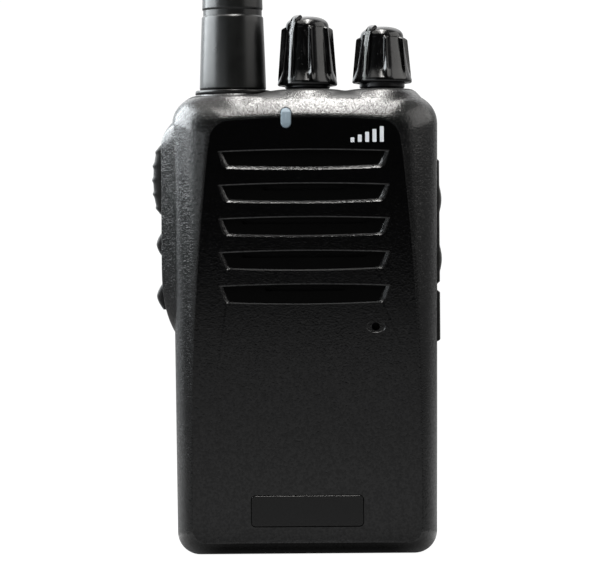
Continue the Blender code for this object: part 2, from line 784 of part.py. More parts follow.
def front_case(home):
    """Moulded front shell with its slots, windows, mounds and rail."""
    case = piece(
        "front_case", case_form(SPLIT_Y, FRONT_Y, SHOULDER_Y, 0.0), "case_plastic", home
    )
    low = CASE_HEIGHT - CASE_WALL
    for x in (VOLUME_X, CHANNEL_X):
        profile = [(MOUND_FOOT_RADIUS, low), (MOUND_FOOT_RADIUS, case_top_z(x) - FIT)]
        profile += [(MOUND_TOP_RADIUS, MOUND_Z)]
        join(case, turned("Z", (x, CONTROL_Y), profile, ROUND_STEPS))
    seat = (ANTENNA_X, CONTROL_Y)
    join(case, cylinder("Z", seat, ANTENNA_SEAT_RADIUS, low - CASE_WALL, CASE_HEIGHT, ROUND_STEPS))
    join(case, rail_shape())
    cut(case, case_form(SPLIT_Y + OVERRUN, INNER_FRONT_Y, SHOULDER_Y + CASE_WALL / 3, CASE_WALL))
    join(case, *screw_bosses())
    cut(case, *boss_holes())
    cut(case, *[slot_cutter(z) for z in slot_middles()])
    cut(case, *filter(None, [sound_hole(z) for z in slot_middles()]))
    lens = pill((LENS_X, LENS_Z), LENS_WIDTH + 2 * FIT, LENS_HEIGHT + 2 * FIT)
    cut(case, prism(lens, "Y", FRONT_Y - OVERRUN, INNER_FRONT_Y + SLOPE_DEPTH / 2))
    dimple = [
        (MIC_X + MIC_DIMPLE_HALF_WIDTH * math.cos(a), MIC_Z + MIC_DIMPLE_HALF_HEIGHT * math.sin(a))
        for a in [2 * math.pi * i / SMALL_STEPS for i in range(SMALL_STEPS)]
    ]
    cut(case, prism(dimple, "Y", FRONT_Y - OVERRUN, FRONT_Y + MIC_DIMPLE_DEPTH))
    mic_hole = (FRONT_Y + MIC_DIMPLE_DEPTH - FIT, INNER_FRONT_Y + OVERRUN)
    cut(case, cylinder("Y", (MIC_X, MIC_Z), MIC_HOLE_RADIUS, *mic_hole))
    plate = rounded_rectangle(
        (0.0, PLATE_Z), PLATE_WIDTH + 2 * FIT, PLATE_HEIGHT + 2 * FIT, PLATE_RADIUS + FIT
    )
    cut(case, prism(plate, "Y", FRONT_Y - OVERRUN, FRONT_Y + PLATE_THICKNESS + FIT))
    for x in (VOLUME_X, CHANNEL_X):
        hole = (low - CASE_WALL, MOUND_Z + OVERRUN)
        cut(case, cylinder("Z", (x, CONTROL_Y), BUSHING_RADIUS + FIT, *hole))
    hole = (low - CASE_WALL, CASE_HEIGHT + OVERRUN)
    cut(case, cylinder("Z", seat, SOCKET_RADIUS + FIT, *hole))
    cut(case, key_window(PTT_Z, PTT_LENGTH, PTT_WIDTH))
    for z in (SIDE_KEY_UPPER_Z, SIDE_KEY_LOWER_Z):
        cut(case, key_window(z, SIDE_KEY_LENGTH, SIDE_KEY_WIDTH))
    recess_low = (cover_floor_x(), JACK_Y - COVER_WIDTH / 2 - FIT, COVER_LOW_Z - FIT)
    recess_x = CASE_HALF_WIDTH_TOP + OVERRUN
    cut(case, box(recess_low, (recess_x, JACK_Y + COVER_WIDTH / 2 + FIT, COVER_HIGH_Z + FIT)))
    cut(case, *jack_windows())
    anchor_hole = (cover_floor_x() - CASE_WALL - OVERRUN, cover_floor_x() + OVERRUN)
    cut(case, cylinder("X", (JACK_Y, anchor_screw_z()), SCREW_SHANK_RADIUS + FIT, *anchor_hole))


def led_lens(home):
    """Indicator lens: a pill whose face follows the panel and the border above it."""
    outline = pill((LENS_X, LENS_Z), LENS_WIDTH, LENS_HEIGHT)
    rear = INNER_FRONT_Y + SLOPE_DEPTH / 3
    rings = [
        [Vector((x, slope_y(z) - LENS_PROUD, z)) for x, z in outline],
        [Vector((x, rear, z)) for x, z in outline],
    ]
    piece("led_lens", loft(rings), "lens", home)
    half = LENS_WIDTH / 2
    low = (LENS_X - half, rear + FIT, LENS_Z - half)
    high = (LENS_X + half, rear + FIT + LED_THICKNESS, LENS_Z + half)
    piece("indicator_led", box(low, high), "board", home)


def name_plate(home):
    """Bare plate in its shallow recess."""
    outline = rounded_rectangle((0.0, PLATE_Z), PLATE_WIDTH, PLATE_HEIGHT, PLATE_RADIUS)
    piece("name_plate", prism(outline, "Y", FRONT_Y, FRONT_Y + PLATE_THICKNESS), "plate", home)


# Speaker and microphone


def speaker(home):
    """Net, gasket, framed magnet and cone, stacked behind the slots."""
    centre = (0.0, SPEAKER_Z)
    inner = SPEAKER_RADIUS - SPEAKER_RIM
    net_y = INNER_FRONT_Y + FIT
    net = cylinder("Y", centre, SPEAKER_RADIUS, net_y, net_y + NET_THICKNESS, ROUND_STEPS)
    piece("speaker_net", net, "net_cloth", home)
    gasket_y = net_y + NET_THICKNESS + FIT
    back = gasket_y + GASKET_THICKNESS
    ring = [(inner, gasket_y), (SPEAKER_RADIUS, gasket_y), (SPEAKER_RADIUS, back), (inner, back)]
    gasket = turned("Y", centre, ring, ROUND_STEPS, closed=True)
    piece("speaker_gasket", gasket, "black_rubber", home)
    front = back + FIT
    basket_y = front + SPEAKER_DEPTH * 0.57
    rim_y = front + SPEAKER_DEPTH * 0.17
    floor_y = front + SPEAKER_DEPTH * 0.45
    floor_radius = SPEAKER_MAGNET_RADIUS * 0.85
    frame = [
        (floor_radius, floor_y),
        (inner, rim_y),
        (inner, front),
        (SPEAKER_RADIUS, front),
        (SPEAKER_RADIUS, rim_y),
        (SPEAKER_MAGNET_RADIUS * 1.15, basket_y),
        (SPEAKER_MAGNET_RADIUS, basket_y),
        (SPEAKER_MAGNET_RADIUS, front + SPEAKER_DEPTH),
    ]
    piece("speaker_frame", turned("Y", centre, frame, ROUND_STEPS), "steel", home)
    edge = inner - FIT
    cap_radius = floor_radius / 3
    cone_floor_y = floor_y - FIT
    cone = [
        (cap_radius, front + (cone_floor_y - front) * 0.6),
        (edge, front + FIT),
        (edge, front + 2 * FIT),
        (floor_radius * 0.7, cone_floor_y),
    ]
    piece("speaker_cone", turned("Y", centre, cone, ROUND_STEPS), "cone_paper", home)


def microphone(home):
    """Capsule in a rubber boot behind its hole."""
    centre = (MIC_X, MIC_Z)
    front = INNER_FRONT_Y + FIT
    inner = MIC_RADIUS + FIT
    outer = inner + MIC_BOOT_WALL
    seat = front + MIC_BOOT_WALL
    back = seat + FIT + MIC_LENGTH
    profile = [(MIC_HOLE_RADIUS, front), (outer, front), (outer, back), (inner, back)]
    profile += [(inner, seat), (MIC_HOLE_RADIUS, seat)]
    boot = turned("Y", centre, profile, SMALL_STEPS, closed=True)
    piece("microphone_boot", boot, "black_rubber", home)
    capsule = cylinder("Y", centre, MIC_RADIUS, seat + FIT, back)
    piece("microphone", capsule, "cast_metal", home)


# Chassis and boards


def side_board_x():
    """Place across the width of the outer face of the side switches' board, and of their switches."""
    switch_x = -(case_half_width(PTT_Z) - CASE_WALL - FIT - KEY_FLANGE - PTT_TRAVEL - FIT)
    return switch_x + SWITCH_THICKNESS + FIT, switch_x


def jack_block_x():
    """Inner and outer place across the width of the jack block."""
    outer = case_half_width(JACK_LOWER_Z) - CASE_WALL - FIT
    return outer - JACK_BLOCK_DEPTH, outer


def board_sides():
    """Left and right edge of the main board: from the side switches' board to the jack block."""
    return side_board_x()[0], jack_block_x()[0] - FIT


def standoffs():
    """Posts on the chassis that carry the main board."""
    rear = CHASSIS_REAR_Y - CHASSIS_THICKNESS / 2
    left, right = board_sides()
    heights = (BOARD_LOW_Z + 2 * STANDOFF_RADIUS, BOARD_HIGH_Z - 2 * STANDOFF_RADIUS)
    sides = (left + 2 * STANDOFF_RADIUS, right - 2 * STANDOFF_RADIUS)
    places = [(x, z) for x in sides for z in heights]
    return [cylinder("Y", at, STANDOFF_RADIUS, BOARD_REAR_Y + FIT, rear) for at in places]


def terminal_box(front, rear, gap=0.0):
    """Box of the battery terminals between two depths, with a gap around it."""
    half_width, half_height = TERMINAL_WIDTH / 2 + gap, TERMINAL_HEIGHT / 2 + gap
    return box(
        (-half_width, front, TERMINAL_Z - half_height), (half_width, rear, TERMINAL_Z + half_height)
    )


def screw(name, axis, centre, head_along, inward, length, home):
    """A pan-head screw: its head's outer face is at head_along, and its shank points inward."""
    seat = head_along + inward * SCREW_HEAD_THICKNESS
    profile = [
        (SCREW_HEAD_RADIUS, head_along),
        (SCREW_HEAD_RADIUS, seat),
        (SCREW_SHANK_RADIUS, seat),
        (SCREW_SHANK_RADIUS, head_along + inward * length),
    ]
    piece(name, turned(axis, centre, profile, SMALL_STEPS), "steel", home)


def screw_hole(axis, centre, face_along, inward, depth, sink=0.0):
    """Stepped hole for a screw whose head lies sink below a face."""
    seat = face_along + inward * (sink + SCREW_HEAD_THICKNESS + FIT)
    profile = [
        (SCREW_HEAD_RADIUS + FIT, face_along - inward * OVERRUN),
        (SCREW_HEAD_RADIUS + FIT, seat),
        (SCREW_SHANK_RADIUS + FIT, seat),
        (SCREW_SHANK_RADIUS + FIT, face_along + inward * depth),
    ]
    return turned(axis, centre, profile, SMALL_STEPS)


def chassis(home):
    """Cast plate that closes the case and carries the board, with its gasket and screws."""
    outline = case_outline(CASE_WALL + FIT)
    plate = prism(outline, "Y", CHASSIS_FRONT_Y, CHASSIS_REAR_Y)
    made = piece("chassis", plate, "cast_metal", home)
    join(made, *standoffs())
    through = CHASSIS_THICKNESS + OVERRUN
    for side, name in ((-1, "left"), (1, "right")):
        at = (side * CASE_SCREW_X, CASE_SCREW_Z)
        cut(made, screw_hole("Y", at, CHASSIS_REAR_Y, -1, through))
        screw(f"case_screw_{name}", "Y", at, CHASSIS_REAR_Y, -1, CASE_SCREW_LENGTH, home)
        rear = (CHASSIS_FRONT_Y - OVERRUN, CHASSIS_REAR_Y + OVERRUN)
        at = (side * REAR_SCREW_X, REAR_SCREW_Z)
        cut(made, cylinder("Y", at, SCREW_SHANK_RADIUS + FIT, *rear))
    cut(made, terminal_box(CHASSIS_FRONT_Y - OVERRUN, CHASSIS_REAR_Y + OVERRUN, FIT))
    pocket = LATCH_NOSE_HALF_WIDTH + 2 * FIT
    low = (-pocket, CHASSIS_FRONT_Y - OVERRUN, LATCH_NOSE_Z - 2 * FIT)
    high = (pocket, CHASSIS_REAR_Y + OVERRUN, LATCH_NOSE_Z + LATCH_NOSE_HEIGHT + 2 * FIT)
    cut(made, box(low, high))
    front = CHASSIS_FRONT_Y - FIT - CHASSIS_GASKET_THICKNESS
    rings = [
        [Vector((x, y, z)) for x, z in case_outline(inset)]
        for inset, y in (
            (CASE_WALL + FIT, front),
            (CASE_WALL + FIT, front + CHASSIS_GASKET_THICKNESS),
            (CASE_WALL + FIT + CHASSIS_GASKET_WIDTH, front + CHASSIS_GASKET_THICKNESS),
            (CASE_WALL + FIT + CHASSIS_GASKET_WIDTH, front),
        )
    ]
    piece("chassis_gasket", loft(rings, closed=True), "black_rubber", home)


def boards(home):
    """Main board, its shield can, the side switches' board and the radio's battery terminals."""
    left, right = board_sides()
    low = (left, BOARD_FRONT_Y, BOARD_LOW_Z)
    piece("main_board", box(low, (right, BOARD_REAR_Y, BOARD_HIGH_Z)), "board", home)
    rear = BOARD_FRONT_Y - FIT
    low = (-SHIELD_WIDTH / 2, rear - SHIELD_DEPTH, BOARD_LOW_Z + FIT)
    high = (SHIELD_WIDTH / 2, rear, BOARD_LOW_Z + FIT + SHIELD_HEIGHT)
    piece("rf_shield", box(low, high), "steel", home)
    piece("radio_terminals", terminal_box(BOARD_REAR_Y + FIT, SPLIT_Y), "brass", home)
    board_x, switch_x = side_board_x()
    half = PTT_WIDTH / 2 - FIT
    low = (board_x, KEY_Y - half, SIDE_KEY_LOWER_Z - SIDE_KEY_LENGTH / 2)
    high = (board_x + SWITCH_BOARD_THICKNESS, rear, PTT_Z + PTT_LENGTH / 2)
    piece("side_switch_board", box(low, high), "board", home)
    places = {
        "ptt_switch": PTT_Z,
        "upper_key_switch": SIDE_KEY_UPPER_Z,
        "lower_key_switch": SIDE_KEY_LOWER_Z,
    }
    half = SWITCH_SIZE / 2
    for name, z in places.items():
        low = (switch_x, KEY_Y - half, z - half)
        high = (switch_x + SWITCH_THICKNESS, KEY_Y + half, z + half)
        piece(name, box(low, high), "steel", home)


# Controls on the top


def control_body_top(x):
    """Height of the top of a control's body, below the chassis gasket's upper run."""
    return case_top_z(abs(x) + CONTROL_BODY_HALF) - CASE_WALL - CHASSIS_GASKET_WIDTH - 2 * FIT


def nut_top_z():
    """Height of the top of the nuts on the bushings."""
    return MOUND_Z + FIT + NUT_THICKNESS


def bushing_top_z():
    """Height of the top of the bushings."""
    return nut_top_z() + BUSHING_LENGTH_ABOVE_NUT


def control(body_name, nut_name, x, steps, home):
    """A control under the top wall: its body with a threaded bushing, and the nut on the bushing."""
    top = control_body_top(x)
    centre = (x, CONTROL_Y)
    bore = SHAFT_RADIUS + FIT
    floor = top - CONTROL_BODY_HEIGHT / 3
    corner = CONTROL_BODY_HALF / math.cos(math.pi / steps)
    stem = cylinder("Z", centre, BUSHING_RADIUS, floor, bushing_top_z())
    made = piece(body_name, stem, "steel", home)
    turn = math.pi / steps
    plan = [
        (x + corner * math.cos(2 * turn * i + turn), CONTROL_Y + corner * math.sin(2 * turn * i + turn))
        for i in range(steps)
    ]
    join(made, prism(plan, "Z", top - CONTROL_BODY_HEIGHT, top))
    cut(made, cylinder("Z", centre, bore, floor, bushing_top_z() + OVERRUN))
    inner = BUSHING_RADIUS + FIT
    low = MOUND_Z + FIT
    ring = [(inner, low), (NUT_RADIUS, low), (NUT_RADIUS, nut_top_z()), (inner, nut_top_z())]
    piece(nut_name, turned("Z", centre, ring, SMALL_STEPS, closed=True), "steel", home)


def knob_ring(centre, radius, proud, z):
    """One ring of a knob: a circle with ribs that stand proud of it."""
    pitch = 360.0 / KNOB_RIBS
    offsets = (
        (-pitch / 2, 0.0),
        (-KNOB_RIB_FOOT_ANGLE / 2, 0.0),
        (-KNOB_RIB_ANGLE / 2, proud),
        (KNOB_RIB_ANGLE / 2, proud),
        (KNOB_RIB_FOOT_ANGLE / 2, 0.0),
    )
    points = []
    for rib in range(KNOB_RIBS):
        for offset, stand in offsets:
            turn = math.radians(KNOB_POINTER_ANGLE + rib * pitch + offset)
            reach = radius + stand
            points.append(
                Vector((centre[0] + reach * math.cos(turn), centre[1] + reach * math.sin(turn), z))
            )
    return points


def knob_profile(height):
    """Outer profile of a knob from its top to its foot: (radius, ribs' height, place above the foot)."""
    dome = height - KNOB_DOME
    profile = []
    for step in range(4):
        turn = math.radians(75 - 25 * step)
        profile.append((KNOB_TOP_RADIUS * math.cos(turn), 0.0, dome + KNOB_DOME * math.sin(turn)))
    profile.append((KNOB_TOP_RADIUS, KNOB_RIB_PROUD, dome - FIT))
    profile.append((KNOB_WAIST_RADIUS, KNOB_RIB_PROUD, KNOB_SKIRT))
    flare = KNOB_RADIUS - KNOB_WAIST_RADIUS
    profile.append((KNOB_WAIST_RADIUS + flare * 0.7, KNOB_RIB_PROUD * 0.2, KNOB_SKIRT * 0.55))
    profile.append((KNOB_RADIUS, 0.0, KNOB_SKIRT * 0.25))
    profile.append((KNOB_RADIUS, 0.0, 0.0))
    return profile


def knob_fin(centre, foot_z, height):
    """Pointer fin: a thin plate that follows the knob's side and dome, standing a little proud."""
    dome = height - KNOB_DOME
    reach = KNOB_TOP_RADIUS + KNOB_FIN_PROUD
    side = [(KNOB_WAIST_RADIUS + KNOB_RIB_PROUD + KNOB_FIN_PROUD / 2, KNOB_SKIRT)]
    over = [
        (reach * math.cos(a), dome + (KNOB_DOME + KNOB_FIN_PROUD) * math.sin(a))
        for a in [math.radians(18 * i) for i in range(6)]
    ]
    over[0] = (KNOB_TOP_RADIUS + KNOB_RIB_PROUD + KNOB_FIN_PROUD / 2, dome)
    inner = KNOB_TOP_RADIUS - KNOB_WALL
    under = [(0.0, dome + KNOB_DOME / 2), (inner, dome), (inner, KNOB_SKIRT)]
    outline = side + over + under
    shape = prism([(r, foot_z + z) for r, z in outline], "Y", -KNOB_FIN_WIDTH / 2, KNOB_FIN_WIDTH / 2)
    turn = math.radians(KNOB_POINTER_ANGLE)
    for vert in shape.verts:
        along, across = vert.co.x, vert.co.y
        vert.co.x = centre[0] + along * math.cos(turn) - across * math.sin(turn)
        vert.co.y = centre[1] + along * math.sin(turn) + across * math.cos(turn)
    return shape


def knob(name, shaft_name, x, height, gap, home):
    """A ribbed knob with a pointer fin, hollow below for the nut, pressed on its shaft."""
    centre = (x, CONTROL_Y)
    foot = MOUND_Z + gap
    ceiling = bushing_top_z() + FIT
    shaft_top = foot + SHAFT_IN_KNOB
    bore = SHAFT_RADIUS + FIT
    rings = [knob_ring(centre, r, proud, foot + z) for r, proud, z in knob_profile(height)]
    cavity = NUT_RADIUS + 2 * FIT
    for radius, z in ((cavity, foot), (cavity, ceiling), (bore, ceiling), (bore, shaft_top + FIT)):
        rings.append(knob_ring(centre, radius, 0.0, z))
    made = piece(name, loft(rings), "gloss_plastic", home)
    join(made, knob_fin(centre, foot, height))
    shaft_low = control_body_top(x) - CONTROL_BODY_HEIGHT / 3 + FIT
    shaft = cylinder("Z", centre, SHAFT_RADIUS, shaft_low, shaft_top)
    piece(shaft_name, shaft, "steel", home)


# Antenna


def antenna_socket(home):
    """Threaded socket under the top wall, which stands up into the antenna's base."""
    centre = (ANTENNA_X, CONTROL_Y)
    top = case_top_z(abs(ANTENNA_X) + SOCKET_FLANGE_RADIUS) - 2 * CASE_WALL - FIT
    pin_hole = PIN_RADIUS + FIT
    profile = [
        (SOCKET_FLANGE_RADIUS, top - SOCKET_FLANGE_THICKNESS),
        (SOCKET_FLANGE_RADIUS, top),
        (SOCKET_RADIUS, top),
        (SOCKET_RADIUS, SOCKET_TOP_Z),
        (pin_hole, SOCKET_TOP_Z),
        (pin_hole, WASHER_LOW_Z),
    ]
    piece("antenna_socket", turned("Z", centre, profile, SMALL_STEPS), "brass", home)


def antenna(washer_home, home):
    """Rubber-sheathed antenna with its screw plug, its coil and a captive washer."""
    centre = (ANTENNA_X, CONTROL_Y)
    inner = SOCKET_RADIUS + FIT
    high = WASHER_LOW_Z + WASHER_THICKNESS
    ring = [(inner, WASHER_LOW_Z), (WASHER_RADIUS, WASHER_LOW_Z), (WASHER_RADIUS, high), (inner, high)]
    washer = turned("Z", centre, ring, ROUND_STEPS, closed=True)
    piece("antenna_washer", washer, "black_rubber", washer_home)
    plug = [
        (PIN_RADIUS, PLUG_LOW_Z),
        (PIN_RADIUS, PLUG_CEILING_Z),
        (PLUG_BORE_RADIUS, PLUG_CEILING_Z),
        (PLUG_BORE_RADIUS, PLUG_LOW_Z),
        (PLUG_RADIUS, PLUG_LOW_Z),
        (PLUG_RADIUS, PLUG_TOP_Z),
    ]
    piece("antenna_plug", turned("Z", centre, plug, SMALL_STEPS), "brass", home)
    coil_low = PLUG_TOP_Z + FIT + COIL_WIRE_RADIUS
    coil_hole = COIL_RADIUS + COIL_WIRE_RADIUS + FIT
    collar = ANTENNA_BASE_Z + ANTENNA_COLLAR_LENGTH
    groove = ANTENNA_COLLAR_RADIUS - ANTENNA_GROOVE_DEPTH
    tip = ANTENNA_BASE_Z + ANTENNA_LENGTH
    sheath = [
        (coil_hole, coil_low + COIL_LENGTH + 2 * COIL_WIRE_RADIUS),
        (coil_hole, PLUG_TOP_Z + FIT),
        (PLUG_RADIUS + FIT, PLUG_TOP_Z + FIT),
        (PLUG_RADIUS + FIT, ANTENNA_BASE_Z),
        (ANTENNA_BASE_RADIUS - FIT, ANTENNA_BASE_Z),
        (ANTENNA_BASE_RADIUS, ANTENNA_BASE_Z + FIT),
        (ANTENNA_COLLAR_RADIUS, collar - FIT),
        (groove, collar),
        (groove, collar + ANTENNA_GROOVE_WIDTH),
        (ANTENNA_COLLAR_RADIUS - FIT / 2, collar + ANTENNA_GROOVE_WIDTH + FIT),
    ]
    for step in range(4):
        turn = math.radians(25 * step)
        rise = tip - ANTENNA_TIP_RADIUS * (1 - math.sin(turn))
        sheath.append((ANTENNA_TIP_RADIUS * math.cos(turn), rise))
    sheath_shape = turned("Z", centre, sheath, ROUND_STEPS)
    piece("antenna_sheath", sheath_shape, "antenna_rubber", home)
    spring("antenna_coil", "Z", centre, coil_low, COIL_LENGTH, COIL_RADIUS, COIL_WIRE_RADIUS,
           COIL_TURNS, "brass", home)


def spring(name, axis, centre, low, length, radius, wire, turns, material, home):
    """A coil of round wire along an axis, as a bevelled curve."""
    curve = bpy.data.curves.new(name, "CURVE")
    curve.dimensions = "3D"
    curve.bevel_depth = wire
    curve.bevel_resolution = 0
    curve.use_fill_caps = True
    steps = turns * 10
    path = curve.splines.new("POLY")
    path.points.add(steps)
    origin = world_place(home)
    for step, point in enumerate(path.points):
        turn = 2 * math.pi * turns * step / steps
        across = centre[0] + radius * math.cos(turn)
        up = centre[1] + radius * math.sin(turn)
        place = on_axis(axis, low + length * step / steps, across, up) - origin
        point.co = (*place, 1.0)
    obj = bpy.data.objects.new(name, curve)
    bpy.context.scene.collection.objects.link(obj)
    obj.parent = home
    curve.materials.append(finish(material))


# Keys in the side rail


def key_shape(middle_z, length, width, crest_x, edge_x, ridges):
    """A key: a crowned stem through its window, with a flange that holds it inside the wall."""
    wall_x = -(case_half_width(PTT_Z) - CASE_WALL - FIT)
    half, lip = length / 2, length / 2 + KEY_FLANGE_LIP
    outline = [
        (wall_x + KEY_FLANGE, middle_z - lip),
        (wall_x + KEY_FLANGE, middle_z + lip),
        (wall_x, middle_z + lip),
        (wall_x, middle_z + half),
    ]
    crest = swapped(bow((middle_z + half, edge_x), (middle_z - half, edge_x), crest_x - edge_x, 12))
    outline += crest + [(wall_x, middle_z - half), (wall_x, middle_z - lip)]
    shape = prism(outline, "Y", KEY_Y - width / 2, KEY_Y + width / 2)
    ridge_shapes = []
    for ridge in range(ridges):
        t = (ridge + 0.5) / ridges
        z = middle_z + half - length * t
        x = edge_x + (crest_x - edge_x) * math.sqrt(4 * t * (1 - t))
        reach = PTT_RIDGE_HEIGHT
        ridge_outline = [
            (x + 2 * reach, z - reach),
            (x + 2 * reach, z + reach),
            (x - reach, z + reach * 0.7),
            (x - reach, z - reach * 0.7),
        ]
        inner = width / 2 - 2 * FIT
        ridge_shapes.append(prism(ridge_outline, "Y", KEY_Y - inner, KEY_Y + inner))
    return shape, ridge_shapes


def ptt_button(home):
    """Push-to-talk bar with ridges across it."""
    rail_x = -(case_half_width(PTT_Z) + RAIL_PROUD)
    edge_x = rail_x + PTT_RIDGE_HEIGHT
    crest_x = rail_x - PTT_PROUD + PTT_RIDGE_HEIGHT
    shape, ridges = key_shape(PTT_Z, PTT_LENGTH, PTT_WIDTH, crest_x, edge_x, PTT_RIDGES)
    made = piece("ptt_button", shape, "black_rubber", home)
    join(made, *ridges)


def side_key(name, middle_z, home):
    """One of the two small keys below the push-to-talk bar."""
    rail_x = -(case_half_width(PTT_Z) + RAIL_PROUD)
    crest_x = rail_x - SIDE_KEY_PROUD
    shape, _ = key_shape(middle_z, SIDE_KEY_LENGTH, SIDE_KEY_WIDTH, crest_x, rail_x, 0)
    piece(name, shape, "black_rubber", home)


# Jacks and their cover


def anchor_screw_z():
    """Height of the screw that holds the jack cover's anchor."""
    return (COVER_LOW_Z + COVER_HINGE_Z - COVER_NOTCH) / 2


def cover_faces():
    """Inner and outer place across the width of the jack cover's strip."""
    return cover_floor_x() + FIT, case_half_width(COVER_HINGE_Z) + COVER_PROUD


def jack_block(home):
    """Moulded block with the two accessory jacks."""
    inner, outer = jack_block_x()
    front, rear = JACK_Y - JACK_BLOCK_WIDTH / 2, JACK_Y + JACK_BLOCK_WIDTH / 2
    low_z, high_z = JACK_LOWER_Z - JACK_BLOCK_MARGIN, JACK_UPPER_Z + JACK_BLOCK_MARGIN
    block = piece(
        "jack_block",
        box((inner, front, low_z), (outer, rear, high_z)),
        "gloss_plastic",
        home,
    )
    for z in (JACK_UPPER_Z, JACK_LOWER_Z):
        reach = (inner + CASE_WALL / 2, outer + OVERRUN)
        cut(block, cylinder("X", (JACK_Y, z), JACK_BORE_RADIUS, *reach))


def jack_cover(home):
    """Hinged rubber flap over the jacks: two bulges outside, two plugs inside."""
    inner, outer = cover_faces()
    outline = [
        (inner, COVER_HIGH_Z),
        (inner, COVER_HINGE_Z + COVER_WEB_GAP),
        (outer, COVER_HINGE_Z + COVER_NOTCH),
    ]
    half = COVER_BULGE_LENGTH / 2
    for z in (JACK_LOWER_Z, JACK_UPPER_Z):
        outline += swapped(crown((z - half, outer), (z + half, outer), COVER_BULGE, 6))
    outline.append((outer, COVER_HIGH_Z))
    width = COVER_WIDTH / 2
    made = piece(
        "jack_cover", prism(outline, "Y", JACK_Y - width, JACK_Y + width), "black_rubber", home
    )
    for z in (JACK_UPPER_Z, JACK_LOWER_Z):
        reach = (inner - COVER_PLUG_LENGTH, (inner + outer) / 2)
        join(made, cylinder("X", (JACK_Y, z), COVER_PLUG_RADIUS, *reach))


def jack_cover_anchor(home):
    """Fixed end of the jack cover, held by a screw."""
    inner, outer = cover_faces()
    outline = [
        (inner, COVER_LOW_Z),
        (outer, COVER_LOW_Z),
        (outer, COVER_HINGE_Z - COVER_NOTCH),
        (inner, COVER_HINGE_Z - COVER_WEB_GAP),
    ]
    width = COVER_WIDTH / 2
    made = piece(
        "jack_cover_anchor", prism(outline, "Y", JACK_Y - width, JACK_Y + width), "black_rubber", home
    )
    centre = (JACK_Y, anchor_screw_z())
    depth = outer - inner + OVERRUN
    cut(made, screw_hole("X", centre, outer, -1, depth))
    length = outer - cover_floor_x() + CASE_WALL
    screw("jack_cover_screw", "X", centre, outer, -1, length, home)


# Rear cover


def rear_cover(home):
    """Cover above the battery, grooved below for the bead that the battery tilts on."""
    low = BATTERY_TOP + FIT
    front = SPLIT_Y + FIT
    rings = []
    for inset, y in ((0.0, front), (0.0, REAR_Y - REAR_EDGE), (REAR_EDGE * 0.8, REAR_Y)):
        points = [(x, max(z, low)) for x, z in case_outline(inset) if z > low - CASE_BOTTOM_RADIUS]
        half = case_half_width(low) - inset
        points = [(half, low)] + [p for p in points if p[1] > low] + [(-half, low)]
        rings.append([Vector((x, y, z)) for x, z in points])
    made = piece("rear_cover", loft(rings), "case_plastic", home)
    pocket_low = (-REAR_POCKET_HALF_WIDTH, front - OVERRUN, low + REAR_COVER_WALL + BEAD_RADIUS)
    pocket_high = (REAR_POCKET_HALF_WIDTH, REAR_Y - REAR_COVER_WALL, CASE_HEIGHT - REAR_COVER_WALL)
    cut(made, box(pocket_low, pocket_high))
    groove = (-BEAD_HALF_LENGTH - FIT, BEAD_HALF_LENGTH + FIT)
    cut(made, cylinder("X", (BEAD_Y, BATTERY_TOP), BEAD_RADIUS + FIT, *groove, SMALL_STEPS))
    head_y = REAR_Y - REAR_SCREW_SINK
    length = head_y - CHASSIS_FRONT_Y
    for side, name in ((-1, "left"), (1, "right")):
        at = (side * REAR_SCREW_X, REAR_SCREW_Z)
        cut(made, screw_hole("Y", at, REAR_Y, -1, BATTERY_DEPTH + OVERRUN, REAR_SCREW_SINK))
        screw(f"rear_screw_{name}", "Y", at, head_y, -1, length, home)


# Battery pack


def battery_outline(inset=0.0):
    """Outline of the battery seen from the front: round lower corners and a straight top."""
    half, radius = BATTERY_HALF_WIDTH - inset, max(CASE_BOTTOM_RADIUS - inset, FIT)
    low, high = inset, BATTERY_TOP - inset
    right = arc((half - radius, low + radius), radius, -90, 0, CORNER_STEPS) + [(half, high)]
    return right + [(-x, z) for x, z in reversed(right)]


def latch_slot():
    """Slot through the battery's lower end for the latch and its travel."""
    half = LATCH_HALF_WIDTH + FIT
    high = LATCH_NOSE_Z + LATCH_NOSE_HEIGHT + FIT
    rear = latch_pad_rear() + LATCH_TRAVEL + FIT
    return [
        box((-half, TRAY_FRONT_Y - OVERRUN, -OVERRUN), (half, COVER_FRONT_Y, high)),
        box((-half, COVER_FRONT_Y - OVERRUN, -OVERRUN), (half, rear, BATTERY_WALL + OVERRUN)),
    ]


def latch_pad_rear():
    """Depth of the back of the latch's thumb pad."""
    return REAR_Y - BATTERY_WALL - REAR_EDGE - LATCH_TRAVEL


def grip_pads():
    """Raised grips on both sides of the battery."""
    front, rear = COVER_FRONT_Y + BATTERY_WALL, REAR_Y - 1.5 * REAR_EDGE
    pads = []
    for side in (-1, 1):
        x = sorted((side * (BATTERY_HALF_WIDTH - BATTERY_WALL / 2), side * (BATTERY_HALF_WIDTH + GRIP_PROUD)))
        pads.append(box((x[0], front, GRIP_LOW_Z), (x[1], rear, GRIP_HIGH_Z), GRIP_EDGE))
    return pads


def battery_tray(home):
    """Front plate of the battery pack, which lies against the chassis."""
    tray = prism(battery_outline(), "Y", TRAY_FRONT_Y, TRAY_REAR_Y)
    made = piece("battery_tray", tray, "case_plastic", home)
    cut(made, latch_slot()[0])
    cut(made, terminal_box(TRAY_FRONT_Y - OVERRUN, TRAY_REAR_Y + OVERRUN, FIT))
    piece("battery_terminals", terminal_box(TRAY_FRONT_Y, TRAY_REAR_Y), "brass", home)


